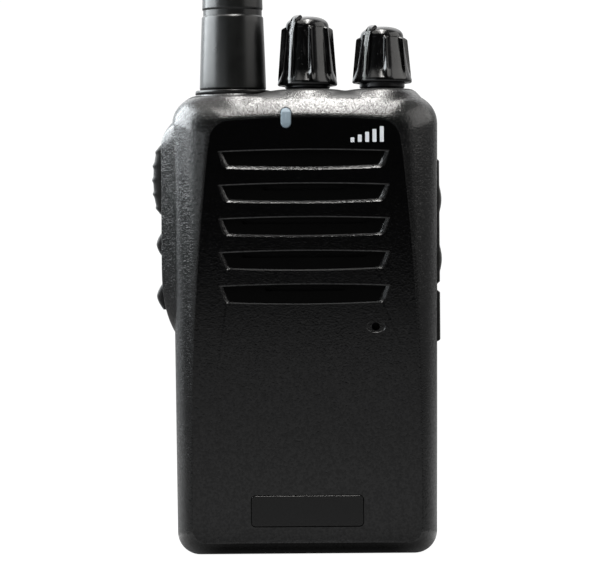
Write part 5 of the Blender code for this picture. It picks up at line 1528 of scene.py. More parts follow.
@dataclass
class Screw:
    """Pan-head screw with a cross recess."""

    name: str
    node: str
    axis: Axis
    centre: Point
    head: float
    inward: int
    length: float
    body: str
    head_radius: float = 0.0019
    head_depth: float = 0.0009
    shank_radius: float = 0.00095
    cross: float = 0.00038
    thread_pitch: float = 0.0005
    @classmethod
    def pair(cls, name: str, node: str, place: Point, head: float, length: float, body: str) -> None:
        """Builds and hangs two screws, left and right of the middle, driven in from behind.

        Args:
            name: What their names start with.
            node: What the names of the nodes they replace start with.
            place: Place across the width of the right one, and height of both.
            head: Depth of the heads' faces.
            length: Their length.
            body: The body that they ride.
        """
        for side, word in ((-1, "left"), (1, "right")):
            centre = (side * place[0], place[1])
            cls(f"{name}_{word}", f"{node}_{word}", Axis.Y, centre, head, -1, length, body).dress()

    def build(self) -> Piece:
        """Shapes the screw: rounded head, cross recess and a threaded shank.

        Returns:
            The screw.
        """
        radius, shank = self.head_radius, self.shank_radius
        thread = self.length - self.head_depth
        turns = max(2, round(thread / self.thread_pitch))
        pitch = thread / turns
        profile = [(0.0001, 0.0), (radius * 0.55, 0.00004), (radius * 0.85, 0.00018)]
        profile += [(radius, 0.00045), (radius, self.head_depth)]
        for turn in range(turns):
            along = self.head_depth + pitch * turn
            profile += [(shank * 0.8, along + pitch * 0.05), (shank, along + pitch * 0.5)]
        profile.append((shank * 0.5, self.length))
        placed = [(reach, self.head + self.inward * along) for reach, along in profile]
        screw = Piece(self.name, STEEL, turned(self.axis, self.centre, placed, 40))
        reach, half = radius * 0.62, self.cross / 2
        ends = sorted((self.head - self.inward * PAST, self.head + self.inward * 0.0006))
        bar = [(reach, half), (-reach, half), (-reach, -half), (reach, -half)]
        for outline in (bar, [(-v, u) for u, v in bar]):
            recess = [(self.centre[0] + u, self.centre[1] + v) for u, v in outline]
            screw.work(Cut.AWAY, prism(recess, self.axis, *ends))
        return screw

    def dress(self) -> None:
        """Builds the screw and hangs it on its body."""
        self.build().shade(30.0).hang(self.body, self.node)


# Controls


@dataclass
class Knob:
    """Ribbed control knob with a pointer fin, and the nut below it."""

    body: str
    x: float
    foot: float
    height: float
    paint: Finish
    radius: float = 0.0066
    rim: float = 0.0008
    waist: float = 0.00578
    top: float = 0.0048
    skirt: float = 0.0034
    dome: float = 0.0026
    ribs: int = 8
    rib_high: float = 0.00572
    rib_crest: float = 0.7
    rib_foot: float = 5.8
    rib_end: float = 0.0003
    rib_fade: Point = (0.0009, 0.0011)
    pointer: float = -127.0
    fin_width: float = 0.0014
    fin_proud: float = 0.0005
    fin_round: float = 0.74
    line_half: float = 0.00031
    nut_radius: float = 0.005
    nut_bore: float = 0.0038
    nut_span: Point = (0.0003, 0.0019)
    nut_facets: int = 72
    knurl: float = 0.00004
    bore: float = 0.0027
    shaft_reach: float = 0.0078

    @property
    def shoulder(self) -> float:
        """Height above the foot where the dome starts."""
        return self.height - self.dome

    def base_radius(self, z: float) -> float:
        """Radius between the ribs.

        Args:
            z: A height above the foot.

        Returns:
            The radius.
        """
        if z <= self.rim:
            return self.radius - 0.00025 * (1 - min(1.0, z / 0.0003)) ** 2
        if z < self.skirt:
            t = (z - self.rim) / (self.skirt - self.rim)
            return self.waist + (self.radius - self.waist) * (1 - t) ** 1.15
        if z < self.shoulder:
            return self.waist + (self.top - self.waist) * (z - self.skirt) / (self.shoulder - self.skirt)
        share = min(1.0, (z - self.shoulder) / self.dome)
        return self.top * max(0.0, 1 - share**2.7) ** 0.42

    def rib_radius(self, z: float) -> float:
        """Radius over a rib, which fades out at the dome.

        Args:
            z: A height above the foot.

        Returns:
            The radius.
        """
        base, end = self.base_radius(z), self.shoulder + self.rib_end
        if z <= self.rim or z >= end:
            return base
        line = self.radius + (self.rib_high - self.radius) * (z - self.rim) / (self.shoulder - self.rim)
        reach, drop = self.rib_fade
        line -= drop * clamp((z - end + reach) / reach) ** 2.5
        return max(base, line)

    def heights(self) -> list[float]:
        """Heights of the rings above the foot.

        Returns:
            The heights, from the foot to the top of the dome.
        """
        end, fade = self.shoulder + self.rib_end, self.shoulder - 0.0006
        places = [0.0, 0.0001, 0.0002, 0.0003, 0.0006, *evenly(self.rim, self.skirt, 10)]
        places += evenly(self.skirt, fade, 10)[1:] + evenly(fade, end, 8)[1:]
        return places + [end + (self.height - end) * math.sin(a) for a in quarter(12)[1:]]

    def ring(self, z: float) -> list[Vector]:
        """One ring of the knob.

        Args:
            z: Its height above the foot.

        Returns:
            The ring.
        """
        pitch = 360.0 / self.ribs
        half = [self.rib_crest * 0.5, *evenly(self.rib_crest, self.rib_foot, 4), 10.0, 14.0, 18.0]
        offsets = [-pitch / 2, *[-offset for offset in reversed(half)], *half]
        base, rib = self.base_radius(z), self.rib_radius(z)
        points = []
        for number in range(self.ribs):
            for offset in offsets:
                share = clamp((self.rib_foot - abs(offset)) / (self.rib_foot - self.rib_crest))
                reach = max(0.00003, base + (rib - base) * share)
                turn = math.radians(self.pointer + number * pitch + offset)
                points.append((self.x + reach * math.cos(turn), SHELL.control_y + reach * math.sin(turn)))
        return Axis.Z.ring(self.foot + z, points)

    def swung(self, shape: Solid) -> Solid:
        """Moves a shape onto the knob.

        Args:
            shape: The shape, drawn along +X above the origin.

        Returns:
            The shape, turned to the pointer's direction.
        """
        turn = math.radians(self.pointer)
        for vert in shape.verts:
            along, across = vert.co.x, vert.co.y
            vert.co.x = self.x + along * math.cos(turn) - across * math.sin(turn)
            vert.co.y = SHELL.control_y + along * math.sin(turn) + across * math.cos(turn)
            vert.co.z += self.foot
        return shape

    def fin_edge(self) -> Outline:
        """Outer edge of the pointer fin.

        Returns:
            (Radius, height above the foot) pairs, from the skirt onto the dome.
        """
        shoulder = self.shoulder
        points = [(self.rib_radius(z) + 0.00006, z) for z in (0.0012, self.skirt, shoulder - 0.0012)]
        reach, rise = self.top + self.fin_proud, self.dome + self.fin_proud
        for angle in evenly(4.0, 62.0, 9):
            out, up = (part(math.radians(angle)) ** self.fin_round for part in (math.cos, math.sin))
            points.append((reach * out + 0.0001, shoulder + rise * up))
        return points

    def fin(self) -> Solid:
        """Pointer fin up the side and over the dome's edge.

        Returns:
            The fin.
        """
        edge = self.fin_edge()
        end, root = edge[-1], self.top - 0.0014
        under = [(end[0] - 0.0005, end[1] - 0.0002), (end[0] - 0.0006, self.height - 0.0012)]
        under += [(root, self.shoulder - 0.0002), (root, edge[0][1])]
        half = self.fin_width / 2
        shape = prism(edge + under, Axis.Y, -half, half)
        rim = [e for e in shape.edges if abs(e.verts[0].co.y - e.verts[1].co.y) < 1e-6]
        bmesh.ops.bevel(shape, geom=rim, offset=0.0002, segments=3, profile=0.5, affect="EDGES")
        return self.swung(shape)

    def line(self) -> Piece:
        """Line painted along the pointer.

        Returns:
            The line.
        """
        path = [(self.rib_radius(z) + 0.00002, z) for z in (self.rim / 2, self.rim)]
        path += [(radius + 0.00003, z) for radius, z in self.fin_edge()[:-4]]
        rings = []
        for place, along in zip(path, headings(path)):
            out = Vector((along.y, -along.x))
            low, high = (Vector(place) + out * lift for lift in (-0.00008, 0.00004))
            corners = ((low, -1.0), (high, -0.8), (high, 0.8), (low, 1.0))
            rings.append([Vector((at.x, side * self.line_half, at.y)) for at, side in corners])
        return Piece(f"{self.body}_dial_line", self.paint, self.swung(loft(rings)))

    def build(self) -> Piece:
        """Shapes the knob, hollow below for its nut.

        Returns:
            The knob.
        """
        knob = Piece(f"{self.body}_dial", KNOB_GLOSS, loft([self.ring(z) for z in self.heights()]))
        knob.work(Cut.ON, self.fin())
        room, ceiling = self.nut_radius + 0.0006, SHELL.mound_z + 0.0026
        hollow = [(room, self.foot - PAST), (room, ceiling)]
        hollow += [(self.bore, ceiling), (self.bore, self.foot + self.shaft_reach)]
        return knob.work(Cut.AWAY, turned(Axis.Z, (self.x, SHELL.control_y), hollow, 48))

    def nut(self) -> Piece:
        """Blackened round nut with a knurled rim.

        Returns:
            The nut.
        """
        low, high = (SHELL.mound_z + rise for rise in self.nut_span)
        rings = []
        for radius, z in washer(self.nut_bore, self.nut_radius, low, high, 0.0002):
            ring = []
            for step in range(self.nut_facets):
                a = 2 * math.pi * step / self.nut_facets
                reach = radius - (self.knurl if step % 2 and radius > self.nut_bore else 0.0)
                ring.append((self.x + reach * math.cos(a), SHELL.control_y + reach * math.sin(a)))
            rings.append(Axis.Z.ring(z, ring))
        return Piece(f"{self.body}_dial_nut", BLACK_STEEL, loft(rings, closed=True))

    def dress(self) -> None:
        """Builds the knob, its nut and its line, and hangs them."""
        self.build().shade(36.0).hang(self.body, f"{self.body}_knob")
        self.nut().shade(25.0).hang("case", f"{self.body}_nut")
        self.line().shade(40.0).hang(self.body)


@dataclass
class Antenna:
    """Rubber-sheathed antenna and its captive washer."""

    base: float = 0.1022
    length: float = 0.09584
    base_radius: float = 0.00735
    collar: float = 0.0163
    collar_radius: float = 0.00682
    groove_width: float = 0.0015
    groove_depth: float = 0.0003
    tip_radius: float = 0.0046
    bore: float = 0.0047
    plug_top: float = 0.1083
    washer_low: float = 0.1014
    washer_radius: float = 0.0083
    washer_bore: float = 0.0034
    washer_span: Point = (-0.0002, 0.0007)
    coil_bore: float = 0.00336
    coil_length: float = 0.047
    foot_round: float = 0.0005
    def profile(self) -> Outline:
        """Profile of the sheath.

        Returns:
            (Radius, height) pairs from its bore, round its foot and up to its tip.
        """
        base, rim, collar = self.base, self.base_radius, self.base + self.collar
        top, edge, high = self.collar_radius, self.foot_round, collar + self.groove_width
        groove, tip = top - self.groove_depth, base + self.length
        points = [(self.coil_bore, self.plug_top + self.coil_length), (self.coil_bore, self.plug_top)]
        points += [(self.bore, self.plug_top), (self.bore, base)]
        points += [(rim - edge * (1 - math.sin(a)), base + edge * (1 - math.cos(a))) for a in quarter(4)]
        for t in evenly(0.0, 1.0, 12)[1:]:
            points.append((rim + (top - rim) * t**1.15, base + edge + (self.collar - 0.0008) * t))
        points += [(top - 0.00008, collar - 0.00012), (groove + 0.0001, collar)]
        points += [(groove, collar + 0.00015), (groove, high - 0.00015), (groove + 0.0001, high)]
        points += [(top - 0.00016, high + 0.00012), (top - 0.00012, high + 0.0004)]
        start, end = points[-1], (self.tip_radius, tip - self.tip_radius)
        points += zip(*(evenly(first, last, 24)[1:] for first, last in zip(start, end)))
        return points + arc((0.0, end[1]), self.tip_radius, 0.0, 88.0, 12)[1:]

    def dress(self) -> None:
        """Builds the sheath and the washer and hangs them."""
        centre = (SHELL.antenna_x, SHELL.control_y)
        sheath = Piece("antenna_rubber_sheath", SHEATH_RUBBER, turned(Axis.Z, centre, self.profile(), 112))
        sheath.shade(30.0).hang("antenna", "antenna_sheath")
        low, high = (self.washer_low + rise for rise in self.washer_span)
        profile = washer(self.washer_bore, self.washer_radius, low, high, 0.0001)
        ring = Piece("antenna_foot_washer", WASHER_RUBBER, turned(Axis.Z, centre, profile, 96, closed=True))
        ring.shade(50.0).hang("antenna_washer", "antenna_washer")


@dataclass(frozen=True)
class KeyForm:
    """Place and size of one side key."""

    middle: float
    length: float
    width: float
    crest: float
    edge: float
    ridges: int = 0


@dataclass
class SideKeys:
    """Push-to-talk bar and the two keys below it."""

    wall: float = -0.026812
    flange: float = 0.0008
    flange_lip: float = 0.0011
    rail: float = -0.031712
    ptt_proud: float = 0.0021
    ridges: int = 5
    ridge_height: float = 0.0003
    ridge_half: float = 0.00052
    ridge_inside: float = 0.86
    key_proud: float = 0.0012
    key_sunk: float = 0.0002
    edge_power: float = 0.3

    def cap(self, form: KeyForm) -> Solid:
        """A crowned key with round edges, and with ridges across it if it has any.

        Args:
            form: Its place and size.

        Returns:
            The solid.
        """
        inner, half = self.wall + 0.0002, form.length / 2
        places = [form.middle + form.length * ((i + 0.5) / form.ridges - 0.5) for i in range(form.ridges)]
        rings = []
        for share in gathered(-1.0, 1.0, 40 + 24 * form.ridges):
            z = form.middle + half * share
            bow = (1 - abs(share) ** 2.2) ** 0.5 if places else (1 - abs(share) ** 1.7) ** 1.1
            stand = form.edge + (form.crest - form.edge) * bow - inner
            swells = [math.exp(-(((z - place) / self.ridge_half) ** 2)) for place in places]
            rise = self.ridge_height * sum(swells)
            ring = []
            for across, lift in half_oval(self.edge_power):
                inside = clamp((1 - abs(across)) / (1 - self.ridge_inside))
                x = inner + stand * lift - rise * inside
                ring.append((x, SHELL.key_y + across * form.width / 2))
            rings.append(Axis.Z.ring(z, ring))
        return loft(rings)

    def key(self, name: str, form: KeyForm) -> Piece:
        """A key with the flange that holds it behind the wall.

        Args:
            name: Its name.
            form: Its place and size.

        Returns:
            The key.
        """
        key = Piece(name, KEY_RUBBER, self.cap(form))
        half, reach = form.width / 2, form.length / 2 + self.flange_lip
        low = (self.wall, SHELL.key_y - half, form.middle - reach)
        high = (self.wall + self.flange, SHELL.key_y + half, form.middle + reach)
        return key.work(Cut.ON, block(low, high, 0.0002))

    def dress(self) -> None:
        """Builds the keys and hangs each on its own body."""
        valley = self.rail + self.ridge_height
        bar = KeyForm(*OPENINGS.ptt, OPENINGS.ptt_width, valley - self.ptt_proud, valley, self.ridges)
        self.key("push_to_talk_bar", bar).shade(45.0).hang("ptt", "ptt_button")
        crest, edge = self.rail - self.key_proud, self.rail + self.key_sunk
        for place, middle in zip(("upper", "lower"), OPENINGS.keys):
            key = self.key(f"{place}_key_cap", KeyForm(middle, *OPENINGS.key_size, crest, edge))
            key.shade(45.0).hang(f"{place}_key", f"{place}_side_key")


@dataclass
class JackCover:
    """Rubber flap over the jacks, its fixed end, and the thin web that it folds on."""

    inner: float = 0.028434
    outer: float = 0.029634
    hinge: float = 0.0585
    notch: float = 0.0012
    web_gap: float = 0.00015
    web_reach: float = 0.0008
    web_thick: Point = (0.00016, 0.0002)
    bulge: float = 0.0005
    bulge_length: float = 0.0060
    plug_radius: float = 0.0015
    plug_length: float = 0.0012
    rounding: float = 0.0006
    narrow: float = 0.96
    edge_power: float = 0.3
    fold_steps: tuple[float, ...] = (0.0, 0.0002, 0.0006, 0.00105, 0.00125, 0.0014)
    rim_steps: tuple[float, ...] = (0.0, 0.00004, 0.00012, 0.0003, 0.0005, 0.0008)

    def strip(
        self, heights: Sequence[float], thickness: Callable[[float, float], float], ends: Point
    ) -> Solid:
        """A strip of rubber along Z with round edges.

        Args:
            heights: Heights of its rings.
            thickness: Thickness at a height and a share across the width from -1 to 1.
            ends: How much of the width is left at its lower and upper end.

        Returns:
            The solid.
        """
        half = OPENINGS.flap_width / 2
        shares = [ends[0], *[1.0] * (len(heights) - 2), ends[1]]
        rings = []
        for z, share in zip(heights, shares):
            section = half_oval(self.edge_power)
            ring = [(thickness(z, y) * lift, share * y * half) for y, lift in section]
            rings.append(Axis.Z.ring(z, [(self.inner + x, SHELL.jack_y + y) for x, y in ring]))
        return loft(rings)

    @staticmethod
    def heights(
        low: float, high: float, rise: Sequence[float], fall: Sequence[float], steps: int
    ) -> list[float]:
        """Heights of a strip's rings: set steps at both ends and even ones between them."""
        middle = evenly(low + rise[-1], high - fall[-1], steps)
        return [low + up for up in rise[:-1]] + middle + [high - down for down in reversed(fall[:-1])]

    def plain_thickness(self, fold: float, end: float) -> float:
        """Thickness without the domes: notched at the fold and rounded at the free end.

        Args:
            fold: Distance from the fold.
            end: Distance from the free end.

        Returns:
            The thickness.
        """
        near = min(1.0, max(0.06, (fold - self.web_gap) / (self.notch - self.web_gap)))
        over = clamp((self.rounding - end) / self.rounding)
        return (self.outer - self.inner) * near * (1 - 0.5 * over**2.5)

    def flap_thickness(self, z: float, share: float) -> float:
        """Thickness of the flap, which is domed over the jacks.

        Args:
            z: A height.
            share: A share across the width.

        Returns:
            The thickness.
        """
        thick = self.plain_thickness(z - self.hinge, OPENINGS.flap[1] - z)
        for jack in OPENINGS.jacks:
            off = (z - jack) / (self.bulge_length / 2)
            if abs(off) < 1:
                thick += self.bulge * (1 - off**2) ** 1.2 * (1 - abs(share) ** 4)
        return thick

    def build_flap(self) -> Piece:
        """The flap with its two plugs.

        Returns:
            The flap.
        """
        heights = self.heights(
            self.hinge + self.web_gap, OPENINGS.flap[1], self.fold_steps, self.rim_steps, 80
        )
        flap = Piece("jack_flap", KEY_RUBBER, self.strip(heights, self.flap_thickness, (1.0, self.narrow)))
        radius, tip = self.plug_radius, self.inner - self.plug_length
        plug = [(radius * 0.7, tip), (radius, tip + 0.0003), (radius, self.inner + 0.0004)]
        for z in OPENINGS.jacks:
            flap.work(Cut.ON, turned(Axis.X, (SHELL.jack_y, z), plug, 36))
        return flap

    def anchor_thickness(self, z: float, share: float) -> float:
        """Thickness of the fixed end, the same all across its width."""
        return self.plain_thickness(self.hinge - z, z - OPENINGS.flap[0])

    def build_anchor(self) -> Piece:
        """The fixed end with the hole for its screw.

        Returns:
            The fixed end.
        """
        heights = self.heights(
            OPENINGS.flap[0], self.hinge - self.web_gap, self.rim_steps, self.fold_steps, 20
        )
        strip = self.strip(heights, self.anchor_thickness, (self.narrow, 1.0))
        hole = screw_hole(self.outer + PAST, self.outer - HEAD_ROOM, self.inner - PAST)
        anchor = Piece("jack_flap_anchor", KEY_RUBBER, strip)
        return anchor.work(Cut.AWAY, turned(Axis.X, (SHELL.jack_y, OPENINGS.flap_screw_z), hole, 40))

    def build_web(self) -> Piece:
        """The thin web in the notch, which bends as the flap opens.

        Returns:
            The web.
        """
        half, low = OPENINGS.flap_width / 2 - 0.0004, self.inner + 0.00003
        rings = []
        for share in evenly(-1.0, 1.0, 16):
            high = low + self.web_thick[0] + self.web_thick[1] * share**2
            ring = [(low, -half), (high, -half + 0.0001), (high, half - 0.0001), (low, half)]
            placed = [(x, SHELL.jack_y + y) for x, y in ring]
            rings.append(Axis.Z.ring(self.hinge + self.web_reach * share, placed))
        return Piece("jack_flap_web", KEY_RUBBER, loft(rings))

    def dress(self) -> None:
        """Builds the cover's pieces and hangs them."""
        self.build_flap().shade(45.0).hang("jack_cover", "jack_cover")
        self.build_anchor().shade(45.0).hang("case", "jack_cover_anchor")
        web = self.build_web().shade(60.0)
        x, y = self.inner, SHELL.jack_y
        start, end = (x, y, self.hinge - 0.0005), (x, y, self.hinge + 0.0005)
        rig.blend(web.obj, "case", "jack_cover", start=start, end=end)
        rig.slot(web.obj, KEY_RUBBER.slot)
        centre = (SHELL.jack_y, OPENINGS.flap_screw_z)
        Screw("jack_flap_screw", "jack_cover_screw", Axis.X, centre, self.outer, -1, 0.0035, "case").dress()


# Back of the radio


@dataclass
class RearCover:
    """Moulded cover above the battery, with two screws."""

    low: float = 0.0843
    front: float = 0.0048
    lip: float = 0.0007
    rim: float = 0.0003
    corner: float = 0.0004
    bead_z: float = 0.084
    bead_groove: float = 0.0014
    bead_half: float = 0.0203
    screw: Point = (0.019, 0.0925)
    screw_sink: float = 0.0012
    screw_length: float = 0.0131
    screw_mouth: float = 0.0023
    panel: Point = (0.025, 0.0096)
    panel_radius: float = 0.0016
    panel_rise: float = 0.0004
    relief: float = 0.0005
    relief_reach: float = 0.001

    def ring(self, inset: float, y: float) -> list[Vector]:
        """One ring of the cover: the shell's outline above the battery.

        Args:
            inset: How far the outline is moved in.
            y: Where the ring stands; behind the bead its lower edge rises to clear the tilted battery.

        Returns:
            The ring's points.
        """
        low = self.low + self.relief * clamp((y - SHELL.bead_y) / self.relief_reach)
        half, corner = SHELL.half_width(self.low) - inset, self.corner
        foot = [(half - corner, low), (half - corner * 0.3, low + corner * 0.3), (half, low + corner)]
        pairs = zip(SHELL.outline(), SHELL.outline(inset))
        above = [moved for plain, moved in pairs if plain[1] > self.low + 2 * corner]
        return Axis.Y.ring(y, foot + above + [(-x, z) for x, z in reversed(foot)])

    def build(self) -> Piece:
        """Shapes the cover with its rounded back edge, bead groove, screw holes and a sunk panel.

        Returns:
            The cover.
        """
        face, lip, rim, front = SHELL.rear_y, self.lip, self.rim, self.front
        sections = [(lip, SHELL.split_y), (lip, front), (rim, front), (0.0, front + rim)]
        rings = [self.ring(inset, y) for inset, y in sections + SHELL.rear_sections()]
        cover = Piece("rear_cover_moulding", CASE, loft(rings))
        bead, half = (SHELL.bead_y, self.bead_z), self.bead_half
        tools = [rod(Axis.X, bead, self.bead_groove, -half, half)]
        hole = [(self.screw_mouth, face + PAST), (self.screw_mouth, face - 0.0001)]
        hole += screw_hole(face - 0.0002, face - self.screw_sink - HEAD_ROOM, front - PAST)
        for side in (-1, 1):
            tools.append(turned(Axis.Y, (side * self.screw[0], self.screw[1]), hole, 40))
        centre = (0.0, (self.low + SHELL.height) / 2 + self.panel_rise)
        field = []
        for inset, lift in ((-0.0002, 0.0004), (0.0002, -0.0004)):
            width, height = (side - 2 * inset for side in self.panel)
            outline = rectangle(centre, width, height, self.panel_radius - inset)
            field.append(Axis.Y.ring(face + lift, outline))
        tools.append(loft(field))
        return cover.work(Cut.AWAY, *tools)

    def dress(self) -> None:
        """Builds the cover and its screws and hangs them on the case."""
        self.build().shade(34.0).hang("case", "rear_cover")
        head = SHELL.rear_y - self.screw_sink
        Screw.pair("rear_cover_screw", "rear_screw", self.screw, head, self.screw_length, "case")


@dataclass
class BatteryPack:
    """Battery pack: tray, ribbed rear shell, latch and its spring."""

    top: float = 0.084
    half_width: float = 0.0283
    corner: float = 0.0006
    wall: float = 0.0016
    lip: float = 0.0007
    rim: float = 0.0003
    tray_front: float = 0.0048
    tray_rear: float = 0.0064
    cover_front: float = 0.0067
    bead_radius: float = 0.0011
    bead_half: float = 0.020
    grip_low: float = 0.0071
    grip_high: float = 0.0204
    grip_proud: float = 0.0009
    grip_sunk: float = 0.0006
    grips_a_side: int = 6
    label: Point = (0.0, 0.0115)
    label_size: Point = (0.040, 0.0125)
    label_depth: float = 0.00025
    contact: Point = (0.022, 0.0255)
    contact_sunk: float = 0.0006
    contact_profile: tuple[Point, ...] = (
        (0.0019, -0.0004), (0.0019, 0.0001), (0.0017, 0.00025), (0.0008, 0.0003), (0.0003, 0.0003)
    )
    terminal: Point = (0.012, 0.006)
    terminal_z: float = 0.021
    strips: int = 4
    strip_proud: float = 0.00008
    field: Point = (0.046, 0.0095)
    field_low: float = 0.034
    field_pitch: float = 0.0125
    latch_half: float = 0.0065
    latch_outline: tuple[Point, ...] = (
        (0.0107, 0.0006), (0.0107, 0.0030), (0.0065, 0.0030), (0.0065, 0.0057), (0.0051, 0.0057),
        (0.0051, 0.0006),
    )
    latch_slot_rear: float = 0.013
    latch_groove: float = 0.0074
    latch_groove_pitch: float = 0.0008
    spring_z: float = 0.0049

    def outline(self, inset: float = 0.0) -> Outline:
        """The battery seen from the front.

        Args:
            inset: How far the outline is moved in.

        Returns:
            The outline.
        """
        half = self.half_width - inset
        low_radius, high_radius = max(SHELL.bottom_radius - inset, 0.0003), max(self.corner - inset, 0.0002)
        right = arc((half - low_radius, inset + low_radius), low_radius, -90, 0, 12)
        right += [(half, self.top * share) for share in (0.25, 0.5, 0.75)]
        right += arc((half - high_radius, self.top - inset - high_radius), high_radius, 0, 90, 4)
        return right + [(-x, z) for x, z in reversed(right)]

    def skin(self, *sections: Point) -> Solid:
        """The battery's outline lofted through (inset, depth) pairs."""
        return loft([Axis.Y.ring(y, self.outline(inset)) for inset, y in sections])

    def latch_room(self, front: float, rear: float, high: float) -> Solid:
        """Tool for the latch's room in the tray or the shell, which is open below."""
        half = self.latch_half + SHELL.fit
        return block((-half, front - PAST, -0.002), (half, rear, high), 0.0003)

    def grips(self) -> list[Solid]:
        """Finger ridges low on both sides.

        Returns:
            The ridges.
        """
        front, rear = self.cover_front + self.wall, SHELL.rear_y - 1.5 * SHELL.rear_edge
        pitch = (self.grip_high - self.grip_low) / self.grips_a_side
        shapes = []
        for side in (-1, 1):
            x = sorted(side * (self.half_width + out) for out in (-self.grip_sunk, self.grip_proud))
            for i in range(self.grips_a_side):
                low, high = (self.grip_low + pitch * (i + share) for share in (0.14, 0.86))
                shapes.append(block((x[0], front, low), (x[1], rear, high), 0.0006))
        return shapes

    def build_cover(self) -> Piece:
        """The rear shell: rounded back, tilt bead, grips, sunk label field and the contacts' holes.

        Returns:
            The shell.
        """
        rear, front, wall = SHELL.rear_y, self.cover_front, self.wall
        skin = self.skin((self.rim, front), (0.0, front + self.rim), *SHELL.rear_sections())
        cover = Piece("battery_rear_shell", CASE, skin)
        bead = mirrored([(0.0004, -self.bead_half), (self.bead_radius, -self.bead_half + 0.0006)])
        cover.work(Cut.ON, turned(Axis.X, (SHELL.bead_y, self.top), bead, 32), *self.grips())
        cover.work(Cut.AWAY, self.skin((wall, front - PAST), (wall, rear - wall)))
        field = rectangle(self.label, *self.label_size, 0.0015)
        tools = [self.latch_room(front, self.latch_slot_rear, 0.0026)]
        tools.append(prism(field, Axis.Y, rear - self.label_depth, rear + PAST))
        holes = ((self.contact, 0.0021, self.contact_sunk), (SHELL.clip_screw, SHANK_HOLE, 0.003))
        bored = [
            [rod(Axis.Y, (side * x, z), radius, rear - depth, rear + PAST) for side in (-1, 1)]
            for (x, z), radius, depth in holes
        ]
        cover.work(Cut.AWAY, *tools, *bored[0])
        return cover.work(Cut.AWAY, *bored[1])

    def build_contacts(self) -> Piece:
        """Two sprung charging contacts low on the back.

        Returns:
            The contacts.
        """
        face = SHELL.rear_y - self.contact_sunk
        profile = [(radius, face + along) for radius, along in self.contact_profile]
        x, z = self.contact
        shapes = [turned(Axis.Y, (side * x, z), profile, 36) for side in (-1, 1)]
        return Piece("charging_contacts", BRASS, *shapes)

    def build_tray(self) -> Piece:
        """The front plate, with sunk fields and with windows for the terminals and the latch.

        Returns:
            The plate.
        """
        lip, rim, front, rear = self.lip, self.rim, self.tray_front, self.tray_rear
        fore = ((lip, SHELL.split_y + 0.00002), (lip, front), (rim, front), (0.0, front + rim))
        aft = ((0.0, rear - rim), (rim, rear), (lip, rear), (lip, self.cover_front + 0.00002))
        tray = Piece("battery_tray_plate", CASE, self.skin(*fore, *aft))
        tray.work(Cut.AWAY, self.skin((self.wall, front - PAST), (self.wall, front)))
        gap = 2 * SHELL.fit
        window = rectangle((0.0, self.terminal_z), self.terminal[0] + gap, self.terminal[1] + gap, 0.0006)
        tools = [self.latch_room(front, rear + PAST, 0.006)]
        tools.append(prism(window, Axis.Y, front - PAST, rear + PAST))
        for i in range(4):
            field = rectangle((0.0, self.field_low + self.field_pitch * i), *self.field, 0.0012)
            tools.append(prism(field, Axis.Y, front - PAST, front + 0.0004))
        return tray.work(Cut.AWAY, *tools)

    def build_terminals(self, name: str, front: float, rear: float) -> Piece:
        """A carrier with plated contact strips.

        Args:
            name: Its name.
            front: Depth of its front face.
            rear: Depth of its rear face.

        Returns:
            The carrier.
        """
        (width, height), middle, proud = self.terminal, self.terminal_z, self.strip_proud
        low, high = (-width / 2, front, middle - height / 2), (width / 2, rear, middle + height / 2)
        carrier = Piece(name, KNOB_GLOSS, block(low, high, 0.0002))
        pitch = width / self.strips
        strips = []
        for i in range(self.strips):
            outline = rectangle((pitch * (i + 0.5) - width / 2, middle), pitch * 0.6, height * 0.8, 0.0003)
            strips.append(prism(outline, Axis.Y, front - proud, rear + proud))
        carrier.work(Cut.ON, *strips)
        return carrier.paint(BRASS, lambda at, normal: not front - proud / 2 <= at.y <= rear + proud / 2)

    def build_latch(self) -> Piece:
        """Sliding latch: nose, stem and a ridged thumb pad.

        Returns:
            The latch.
        """
        half = self.latch_half
        slide = prism(filleted(self.latch_outline, 0.0003), Axis.X, -half, half)
        latch = Piece("latch_slide", CLIP_PLASTIC, slide)
        latch.work(Cut.ON, block((-0.005, 0.0029, 0.0043), (0.005, 0.0058, 0.0054), 0.0003))
        reach, grooves = half - 0.0008, []
        for i in range(4):
            y = self.latch_groove + self.latch_groove_pitch * i
            grooves.append(block((-reach, y - 0.0002, 0.0), (reach, y + 0.0002, 0.00085), 0.00012))
        return latch.work(Cut.AWAY, *grooves)

    def dress(self) -> None:
        """Builds the pack's pieces and hangs them."""
        self.build_cover().shade(34.0).hang("battery", "battery_cover")
        self.build_contacts().shade(40.0).hang("battery")
        self.build_tray().shade(34.0).hang("battery", "battery_tray")
        strips = self.build_terminals("battery_contact_strips", self.tray_front, self.tray_rear)
        strips.shade(30.0).hang("battery", "battery_terminals")
        self.build_latch().shade(34.0).hang("latch", "battery_latch")
        wound = coil(Axis.Y, (0.0, self.spring_z), 0.0071, 0.0072, 0.0013, 0.0003, 5)
        spring = Piece("latch_coil", STEEL, wound)
        spring.shade(60.0).hang("battery", "latch_spring")
        anchor = (0.0, 0.0146, self.spring_z)
        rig.squash(spring.obj, "latch_slide", axis=(0.0, 1.0, 0.0), anchor=anchor, keep=0.72)


